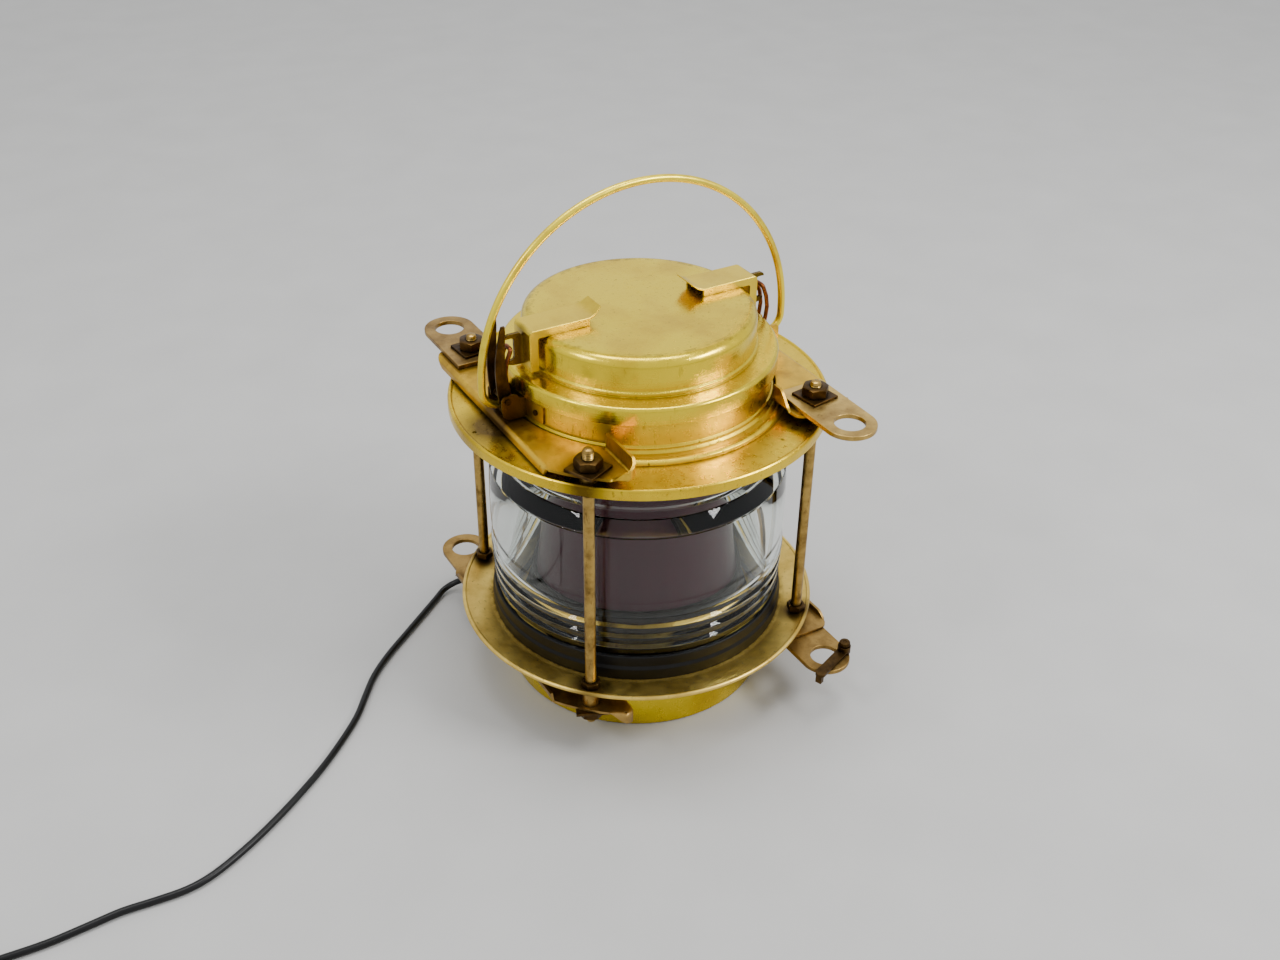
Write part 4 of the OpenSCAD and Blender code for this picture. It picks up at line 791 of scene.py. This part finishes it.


# %% [markdown]
# ### Aged brass
# Five layers make the brass. Broad patches turn the straw colour into warmer gold. Small
# pits and spots of a millimetre or two darken it. Corners go brown with soiling and with
# painted shade, both from the ambient occlusion node. Lathe or rolling lines tilt the
# surface by a hair. Roughness follows that corner mask, since tarnish scatters light and
# rubbed metal does not.


# %% Build a brass finish
def brass(name, rubbed, gold, brown, roughness, patch_mm=34, gold_share=0.5, dirt_and_shade=0.8,
          dirt_and_shade_mm=9, pits=0.5, lines=None, grain_mm=0.05, burns=(), smudge=0.0):
    """Brass with its layers of age and painted shade in its corners; lines is "turned",
    "rolled" or None. Each burn is (x, y, all brown within, gone beyond) in mm, and smudge is
    the soiling near r 77 mm."""
    made, tree = new_material(name)
    place = add(tree, "ShaderNodeTexCoord")
    patches = add(tree, "ShaderNodeTexNoise", {"Scale": 1000 / patch_mm, "Detail": 5.0,
                  "Roughness": 0.6}, {"Vector": (place, "Object")})
    patch = add(tree, "ShaderNodeMapRange", {"From Min": 0.62 - gold_share * 0.4,
                "From Max": 0.9 - gold_share * 0.4}, {"Value": (patches, 0)})
    tone = add(tree, "ShaderNodeMix", {"data_type": "RGBA", 6: linear(rubbed),
               7: linear(gold)}, {0: (patch, 0)})
    mottle = add(tree, "ShaderNodeTexNoise", {"Scale": 1000 / 6.0, "Detail": 4.0,
                 "Roughness": 0.65}, {"Vector": (place, "Object")})
    # Ambient occlusion finds corners and gaps between parts. Those go brown with soiling and with
    # painted shade, in the same mask.
    corner = add(tree, "ShaderNodeAmbientOcclusion", {"samples": 6, "Distance": dirt_and_shade_mm * MM})
    grime_and_shade = add(tree, "ShaderNodeMapRange", {"From Min": 0.92, "From Max": 0.3,
                "To Max": dirt_and_shade * 1.5}, {"Value": (corner, "AO")})
    uneven = add(tree, "ShaderNodeMapRange", {"From Min": 0.35, "From Max": 0.6,
                 "To Min": 0.35}, {"Value": (mottle, 0)})
    patchy_grime_and_shade = add(tree, "ShaderNodeMath", {"operation": "MULTIPLY", "use_clamp": True},
                {0: (grime_and_shade, 0), 1: (uneven, 0)})
    dirty_and_shaded = add(tree, "ShaderNodeMix", {"data_type": "RGBA", 7: linear(brown)},
                {0: (patchy_grime_and_shade, 0), 6: (tone, 2)})
    folded = add(tree, "ShaderNodeVectorMath", {"operation": "ABSOLUTE"},
                 {0: (place, "Object")})
    for x, y, near, far in burns:
        # Solder heat browned the metal round a rod or a latch, in a ragged patch. Absolute
        # values fold the four quarters of the lamp into one, and the left latch has its own
        offset = add(tree, "ShaderNodeVectorMath", {"operation": "SUBTRACT",
                     1: (x * MM, y * MM, 0)},
                     {0: (place, "Object") if x < 0 else (folded, 0)})
        level_only = add(tree, "ShaderNodeVectorMath", {"operation": "MULTIPLY",
                         1: (1, 1, 0)}, {0: (offset, 0)})
        away = add(tree, "ShaderNodeVectorMath", {"operation": "LENGTH"}, {0: (level_only, 0)})
        ragged = add(tree, "ShaderNodeMath", {"operation": "MULTIPLY_ADD", 1: (far - near) * MM},
                     {0: (patches, 0), 2: (away, 1)})
        burnt = add(tree, "ShaderNodeMapRange", {"From Min": (1.5 * far - 0.5 * near) * MM,
                    "From Max": (0.5 * far + 0.5 * near) * MM, "To Max": 0.9},
                    {"Value": (ragged, 0)})
        dirty_and_shaded = add(tree, "ShaderNodeMix", {"data_type": "RGBA", 7: linear("#3f270f")},
                    {0: (burnt, 0), 6: (dirty_and_shaded, 2)})
    if smudge:
        # Dirt that the cloth pushed to the rim of the lid's flat top and left there
        level_only = add(tree, "ShaderNodeVectorMath", {"operation": "MULTIPLY",
                         1: (1, 1, 0)}, {0: (place, "Object")})
        reach = add(tree, "ShaderNodeVectorMath", {"operation": "LENGTH"}, {0: (level_only, 0)})
        off_ring = add(tree, "ShaderNodeMath", {"operation": "COMPARE", 1: 77 * MM, 2: 3 * MM},
                       {0: (reach, 1)})
        cloudy = add(tree, "ShaderNodeMapRange", {"From Min": 0.46, "From Max": 0.66,
                     "To Max": smudge}, {"Value": (mottle, 0)})
        smudged = add(tree, "ShaderNodeMath", {"operation": "MULTIPLY"},
                      {0: (cloudy, 0), 1: (off_ring, 0)})
        dirty_and_shaded = add(tree, "ShaderNodeMix", {"data_type": "RGBA", 7: linear("#4a3312")},
                    {0: (smudged, 0), 6: (dirty_and_shaded, 2)})
    drawn_out = add(tree, "ShaderNodeMapping", {"Scale": (1.0, 1.0, 0.22)},
                    {"Vector": (place, "Object")})
    specks = add(tree, "ShaderNodeTexNoise", {"Scale": 1000 / 3.2, "Detail": 4.0,
                 "Roughness": 0.75}, {"Vector": (drawn_out, 0)})
    spot = add(tree, "ShaderNodeMapRange", {"From Min": 0.6, "From Max": 0.74,
               "To Max": pits}, {"Value": (specks, 0)})
    spotted = add(tree, "ShaderNodeMix", {"data_type": "RGBA", 7: linear("#3f2b14")},
                  {0: (spot, 0), 6: (dirty_and_shaded, 2)})
    rough = add(tree, "ShaderNodeMapRange", {"From Min": 0.3, "From Max": 0.7,
                "To Min": roughness - 0.05, "To Max": roughness + 0.09}, {"Value": (mottle, 0)})
    dull = add(tree, "ShaderNodeMath", {"operation": "MULTIPLY_ADD", 1: 0.3, "use_clamp": True},
               {0: (patchy_grime_and_shade, 0), 2: (rough, 0)})
    shader_links = {"Base Color": (spotted, 2), "Roughness": (dull, 0)}
    height = (mottle, 0)
    depth = grain_mm
    if lines == "turned":
        # Lathe lines are 0.2 mm apart; drawn 1.3 mm apart so that the picture can hold them
        apart = add(tree, "ShaderNodeSeparateXYZ", {}, {0: (place, "Object")})
        flat = add(tree, "ShaderNodeCombineXYZ", {}, {0: (apart, 0), 1: (apart, 1)})
        reach = add(tree, "ShaderNodeVectorMath", {"operation": "LENGTH"}, {0: (flat, 0)})
        along = add(tree, "ShaderNodeMath", {"operation": "ADD"}, {0: (reach, 1), 1: (apart, 2)})
        ring = add(tree, "ShaderNodeTexNoise", {"noise_dimensions": "1D", "Scale": 1000 / 1.3,
                   "Detail": 2.0}, {"W": (along, 0)})
        height, depth = (ring, 0), 0.035
        shader_links["Tangent"] = (add(tree, "ShaderNodeTangent", {
            "direction_type": "RADIAL", "axis": "Z"}), 0)
    if lines == "rolled":
        stretch = add(tree, "ShaderNodeMapping", {"Scale": (1.0, 0.06, 1.0)},
                      {"Vector": (place, "Object")})
        grain = add(tree, "ShaderNodeTexNoise", {"Scale": 1000 / 1.4, "Detail": 2.0},
                    {"Vector": (stretch, 0)})
        height, depth = (grain, 0), 0.012
    bump = add(tree, "ShaderNodeBump", {"Strength": 1.0, "Distance": depth * MM},
               {"Height": height})
    pitted = add(tree, "ShaderNodeBump", {"Strength": 1.0, "Distance": 0.12 * MM, "invert": True},
                 {"Height": (spot, 0), "Normal": (bump, 0)})
    shader_links["Normal"] = (pitted, 0)
    shader = add(tree, "ShaderNodeBsdfPrincipled", {
        "Metallic": 1.0, "Anisotropic": 0.4 if lines == "turned" else 0.0,
        "Anisotropic Rotation": 0.25 if lines == "turned" else 0.0}, shader_links)
    add(tree, "ShaderNodeOutputMaterial", {}, {"Surface": (shader, 0)})
    return made


SPUN = brass("spun_brass_rubbed_with_oil", "#e6ca2a", "#c8a424", "#4a350f", 0.22,
             patch_mm=60, gold_share=0.4, dirt_and_shade=0.4, dirt_and_shade_mm=5, pits=0.5, lines="turned",
             smudge=0.45)
GOLD = brass("spun_brass_gold_with_heat", "#e4c22a", "#cfa824", "#4e3410", 0.28,
             patch_mm=40, gold_share=0.45, dirt_and_shade=0.45, dirt_and_shade_mm=6, pits=0.9, lines="turned",
             burns=[(90.8, 90.8, 10, 22), (-114, 0, 14, 34)])
DISH = brass("spun_brass_dulled_by_damp", "#e8c868", "#c6a44c", "#37280f", 0.36,
             patch_mm=26, gold_share=0.6, dirt_and_shade=0.8, dirt_and_shade_mm=5, pits=1.0, lines="turned",
             burns=[(90.8, 90.8, 7, 18)])
SHEET = brass("rolled_brass_sheet_filed", "#dcb232", "#a67e2a", "#2e1e0c", 0.32,
              patch_mm=26, gold_share=0.5, dirt_and_shade=0.9, dirt_and_shade_mm=7, pits=0.7, lines="rolled",
              burns=[(90.8, 90.8, 12, 26), (-112, 0, 14, 30)])
STRAP = brass("bent_brass_strap_rubbed_bright", "#e4c63a", "#c6a22e", "#4a350f", 0.3,
              patch_mm=40, gold_share=0.4, dirt_and_shade=0.5, dirt_and_shade_mm=3, pits=0.2, grain_mm=0.01,
              burns=[(105, 0, 11, 16)])
CAST = brass("cast_brass_left_to_brown", "#a5854a", "#6c5128", "#261a0a", 0.38,
             patch_mm=18, gold_share=0.5, dirt_and_shade=1.0, dirt_and_shade_mm=8, pits=0.7)
WORN = brass("cast_brass_rubbed_by_its_wire", "#cfae62", "#9a7a40", "#2e200c", 0.33,
             patch_mm=22, gold_share=0.5, dirt_and_shade=0.9, dirt_and_shade_mm=6, pits=0.7)
BROWN = brass("brass_fittings_brown_patina", "#57401f", "#33230f", "#0f0904", 0.38,
              patch_mm=9, gold_share=0.6, dirt_and_shade=1.0, dirt_and_shade_mm=5, pits=0.5)
DRAWN = brass("drawn_brass_rod_brown", "#b0904e", "#70562a", "#22170a", 0.3,
              patch_mm=10, gold_share=0.5, dirt_and_shade=0.9, dirt_and_shade_mm=6, pits=0.8)
HANDLE = brass("drawn_brass_wire_polished_by_hands", "#f6dc3c", "#d0a62e", "#4a3210", 0.32,
               patch_mm=26, gold_share=0.35, dirt_and_shade=0.5, dirt_and_shade_mm=4, pits=0.05, grain_mm=0.006)
COPPERY = brass("copper_plated_wire_worn", "#8a5230", "#5c331b", "#1f0e06", 0.32,
                patch_mm=8, gold_share=0.5, dirt_and_shade=0.7, dirt_and_shade_mm=4, pits=0.3)
INSIDE = brass("brass_blackened_by_a_flame", "#2b2118", "#1c150f", "#0a0705", 0.5,
               patch_mm=18, gold_share=0.5, dirt_and_shade=0.6, pits=0.4)
print("brass finishes: 12")

# %% [markdown]
# ### Glass, rubber, plastic
# Pressed glass is clear with a trace of green, since the sand holds iron. The sleeve is
# glass coloured in the melt, so dark a plum that it looks black until light comes
# through. Rubber that has stood for years is not black but charcoal, with pale dust.

# %% Glass finishes
glass, tree = new_material("pressed_clear_glass")
place = add(tree, "ShaderNodeTexCoord")
ripple = add(tree, "ShaderNodeTexNoise", {"Scale": 1000 / 14.0, "Detail": 1.0},
             {"Vector": (place, "Object")})
bump = add(tree, "ShaderNodeBump", {"Strength": 1.0, "Distance": 0.015 * MM},
           {"Height": (ripple, 0)})
# Its mirror reflection is drawn weaker than the real four per cent, because the picture's
# tone curve lifts dark tones and would turn the dark sleeve behind it grey
shader = add(tree, "ShaderNodeBsdfPrincipled", {
    "Base Color": linear("#f0f6f2"), "Roughness": 0.015, "IOR": 1.52,
    "Specular Tint": (0.45, 0.45, 0.45, 1.0), "Transmission Weight": 1.0}, {"Normal": (bump, 0)})
add(tree, "ShaderNodeOutputMaterial", {}, {"Surface": (shader, 0)})

plum, tree = new_material("plum_coloured_glass_sleeve")
place = add(tree, "ShaderNodeTexCoord")
streaks = add(tree, "ShaderNodeMapping", {"Scale": (1.0, 1.0, 0.08)},
              {"Vector": (place, "Object")})
vein = add(tree, "ShaderNodeTexNoise", {"Scale": 1000 / 12.0, "Detail": 3.0},
           {"Vector": (streaks, 0)})
tint = add(tree, "ShaderNodeMix", {"data_type": "RGBA", 6: linear("#3e1824"),
           7: linear("#4e2331")}, {0: (vein, 0)})
shader = add(tree, "ShaderNodeBsdfPrincipled", {"Roughness": 0.3, "IOR": 1.5,
             "Specular IOR Level": 0.15}, {"Base Color": (tint, 2)})
add(tree, "ShaderNodeOutputMaterial", {}, {"Surface": (shader, 0)})

opal, tree = new_material("opal_blown_glass_bulb")
place = add(tree, "ShaderNodeTexCoord")
haze = add(tree, "ShaderNodeTexNoise", {"Scale": 1000 / 20.0}, {"Vector": (place, "Object")})
tint = add(tree, "ShaderNodeMix", {"data_type": "RGBA", 6: linear("#f2efe6"),
           7: linear("#e7e3d8")}, {0: (haze, 0)})
shader = add(tree, "ShaderNodeBsdfPrincipled", {"Roughness": 0.2, "IOR": 1.5,
             "Transmission Weight": 0.25}, {"Base Color": (tint, 2)})
add(tree, "ShaderNodeOutputMaterial", {}, {"Surface": (shader, 0)})


# %% Rubber, ceramic and plated finishes
def plain(name, clean, dusty, roughness, metallic=0.0, grain_mm=1.2, dust=0.4,
          shine=0.5, bump_mm=0.03):
    """A material of one colour with dust or wear, and a fine grain in its surface."""
    made, tree = new_material(name)
    place = add(tree, "ShaderNodeTexCoord")
    cloud = add(tree, "ShaderNodeTexNoise", {"Scale": 1000 / 16.0, "Detail": 6.0,
                "Roughness": 0.7}, {"Vector": (place, "Object")})
    wear = add(tree, "ShaderNodeMapRange", {"From Min": 0.45, "From Max": 0.75,
               "To Max": dust}, {"Value": (cloud, 0)})
    tone = add(tree, "ShaderNodeMix", {"data_type": "RGBA", 6: linear(clean),
               7: linear(dusty)}, {0: (wear, 0)})
    fine = add(tree, "ShaderNodeTexNoise", {"Scale": 1000 / grain_mm, "Detail": 2.0},
               {"Vector": (place, "Object")})
    rough = add(tree, "ShaderNodeMapRange", {"To Min": roughness - 0.06,
                "To Max": roughness + 0.1}, {"Value": (cloud, 0)})
    bump = add(tree, "ShaderNodeBump", {"Strength": 1.0, "Distance": bump_mm * MM},
               {"Height": (fine, 0)})
    shader = add(tree, "ShaderNodeBsdfPrincipled", {"Metallic": metallic,
                 "Specular IOR Level": shine}, {"Base Color": (tone, 2), "Roughness": (rough, 0),
                                          "Normal": (bump, 0)})
    add(tree, "ShaderNodeOutputMaterial", {}, {"Surface": (shader, 0)})
    return made


RUBBER = plain("moulded_rubber_ring_dusty", "#050506", "#15171a", 0.42, dust=0.5,
               shine=0.2)
FLEX = plain("extruded_cable_sheath", "#040405", "#0f0f10", 0.34, dust=0.4, grain_mm=2,
             shine=0.3)
CERAMIC = plain("glazed_ceramic", "#e2dccb", "#b7ab92", 0.25, dust=0.5)
NICKEL = plain("nickel_plated_brass_stamped", "#c2bcae", "#8d8677", 0.28, metallic=1.0)
LEAD = plain("lead_insulation_extruded", "#1c1c1e", "#2f2f31", 0.45)
print("plain finishes: 5")

# %% [markdown]
# ## Hand out the finishes
# Each new piece and each CAD node that still shows gets its finish by name.

# %% Assign
FINISH = {
    SPUN: [drum, lid],
    STRAP: [made_of["strap_left"], made_of["strap_right"]],
    GOLD: [top_flange, neck],
    DISH: [dish],
    SHEET: [made_of["upper_bar_left"], made_of["upper_bar_right"],
            made_of["bracket_left"], made_of["bracket_right"]],
    CAST: [made_of["guide_eye_upper_left"], made_of["guide_eye_lower_left"],
           made_of["guide_eye_lower_right"], made_of["lower_bar_left"],
           made_of["lower_bar_right"], nodes["base_plate"]],
    WORN: [made_of["guide_eye_upper_right"]],
    INSIDE: [nodes["lamp_tray"], nodes["sleeve_seat"], nodes["sleeve_cap"]],
    BROWN: [made_of["square_washers"], end_nuts, foot_nuts, knob, nodes["latch_pin_left"],
            nodes["latch_pin_right"], nodes["bracket_rivets"], nodes["base_screws"],
            made_of["latch_lever"], made_of["wire_lock"]],
    DRAWN: [rods, nodes["rod_spacers"], nodes["cable_gland"], nodes["gland_nut"]],
    HANDLE: [bail],
    COPPERY: [made_of["link_left"], made_of["link_right"], link_eyes],
    glass: [lens],
    plum: [nodes["colour_sleeve"]],
    opal: [nodes["bulb_glass"]],
    RUBBER: [seat, nodes["lens_gasket_upper"]],
    FLEX: [mains_cord, nodes["strain_relief"], made_of["plug_body"]],
    CERAMIC: [nodes["lampholder"], nodes["terminal_block"]],
    NICKEL: [nodes["bulb_cap"], nodes["plug_pins"]],
    LEAD: [nodes["inner_lead"]],
}
for finish, pieces in FINISH.items():
    for shown in pieces:
        if shown.material_slots:
            for place in shown.material_slots:
                place.material = finish
        else:
            shown.data.materials.append(finish)
print("pieces with a finish:", sum(len(pieces) for pieces in FINISH.values()))

# %% [markdown]
# ## Floor and light
# Brass is a mirror with a colour, so it shows the room more than itself. A wide pale floor,
# an even pale sky and four soft lights give it long, quiet highlights.

# %% Floor
mesh = bpy.data.meshes.new("floor")
mesh.from_pydata([(-7, -7, -0.0004), (7, -7, -0.0004), (7, 7, -0.0004), (-7, 7, -0.0004)], [],
                 [(0, 1, 2, 3)])
floor = bpy.data.objects.new("floor", mesh)
bpy.context.scene.collection.objects.link(floor)
floor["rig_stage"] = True
screed, tree = new_material("pale_floor")
place = add(tree, "ShaderNodeTexCoord")
cloud = add(tree, "ShaderNodeTexNoise", {"Scale": 12.0, "Detail": 6.0},
            {"Vector": (place, "Object")})
tint = add(tree, "ShaderNodeMix", {"data_type": "RGBA", 6: linear("#aeadab"),
           7: linear("#bab9b7")}, {0: (cloud, 0)})
shader = add(tree, "ShaderNodeBsdfPrincipled", {"Roughness": 0.85}, {"Base Color": (tint, 2)})
add(tree, "ShaderNodeOutputMaterial", {}, {"Surface": (shader, 0)})
floor.data.materials.append(screed)


# %% Lights
def softbox(name, place, target, width, height, power, colour="#ffffff"):
    """A rectangular light that looks at a point."""
    light = bpy.data.lights.new(name, "AREA")
    light.shape, light.size, light.size_y, light.energy = "RECTANGLE", width, height, power
    light.color = linear(colour)[:3]
    made = bpy.data.objects.new(name, light)
    bpy.context.scene.collection.objects.link(made)
    made.location = place
    made.rotation_euler = (Vector(target) - Vector(place)).to_track_quat("-Z", "Y").to_euler()
    return made


softbox("key", (1.13, -1.17, 1.51), (0, 0, 0.19), 0.8, 0.34, 30)
softbox("left", (-1.55, -0.05, 1.61), (0, 0, 0.19), 0.5, 0.25, 9)
softbox("overhead", (0.1, 0.2, 2.3), (0, 0, 0.2), 1.5, 0.5, 26)
softbox("back", (1.3, 2.2, 1.6), (0, 0, 0.2), 2.2, 1.2, 2.5)
world = bpy.data.worlds.new("studio")
bpy.context.scene.world = world
world.use_nodes = True
world.node_tree.nodes["Background"].inputs["Color"].default_value = linear("#eef0f2")
world.node_tree.nodes["Background"].inputs["Strength"].default_value = 1.15
print("lights:", 4)

# %% Print the size of the scene
low, high = (list(corner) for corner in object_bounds())
print("scene box:", [round(v, 4) for v in low + high])
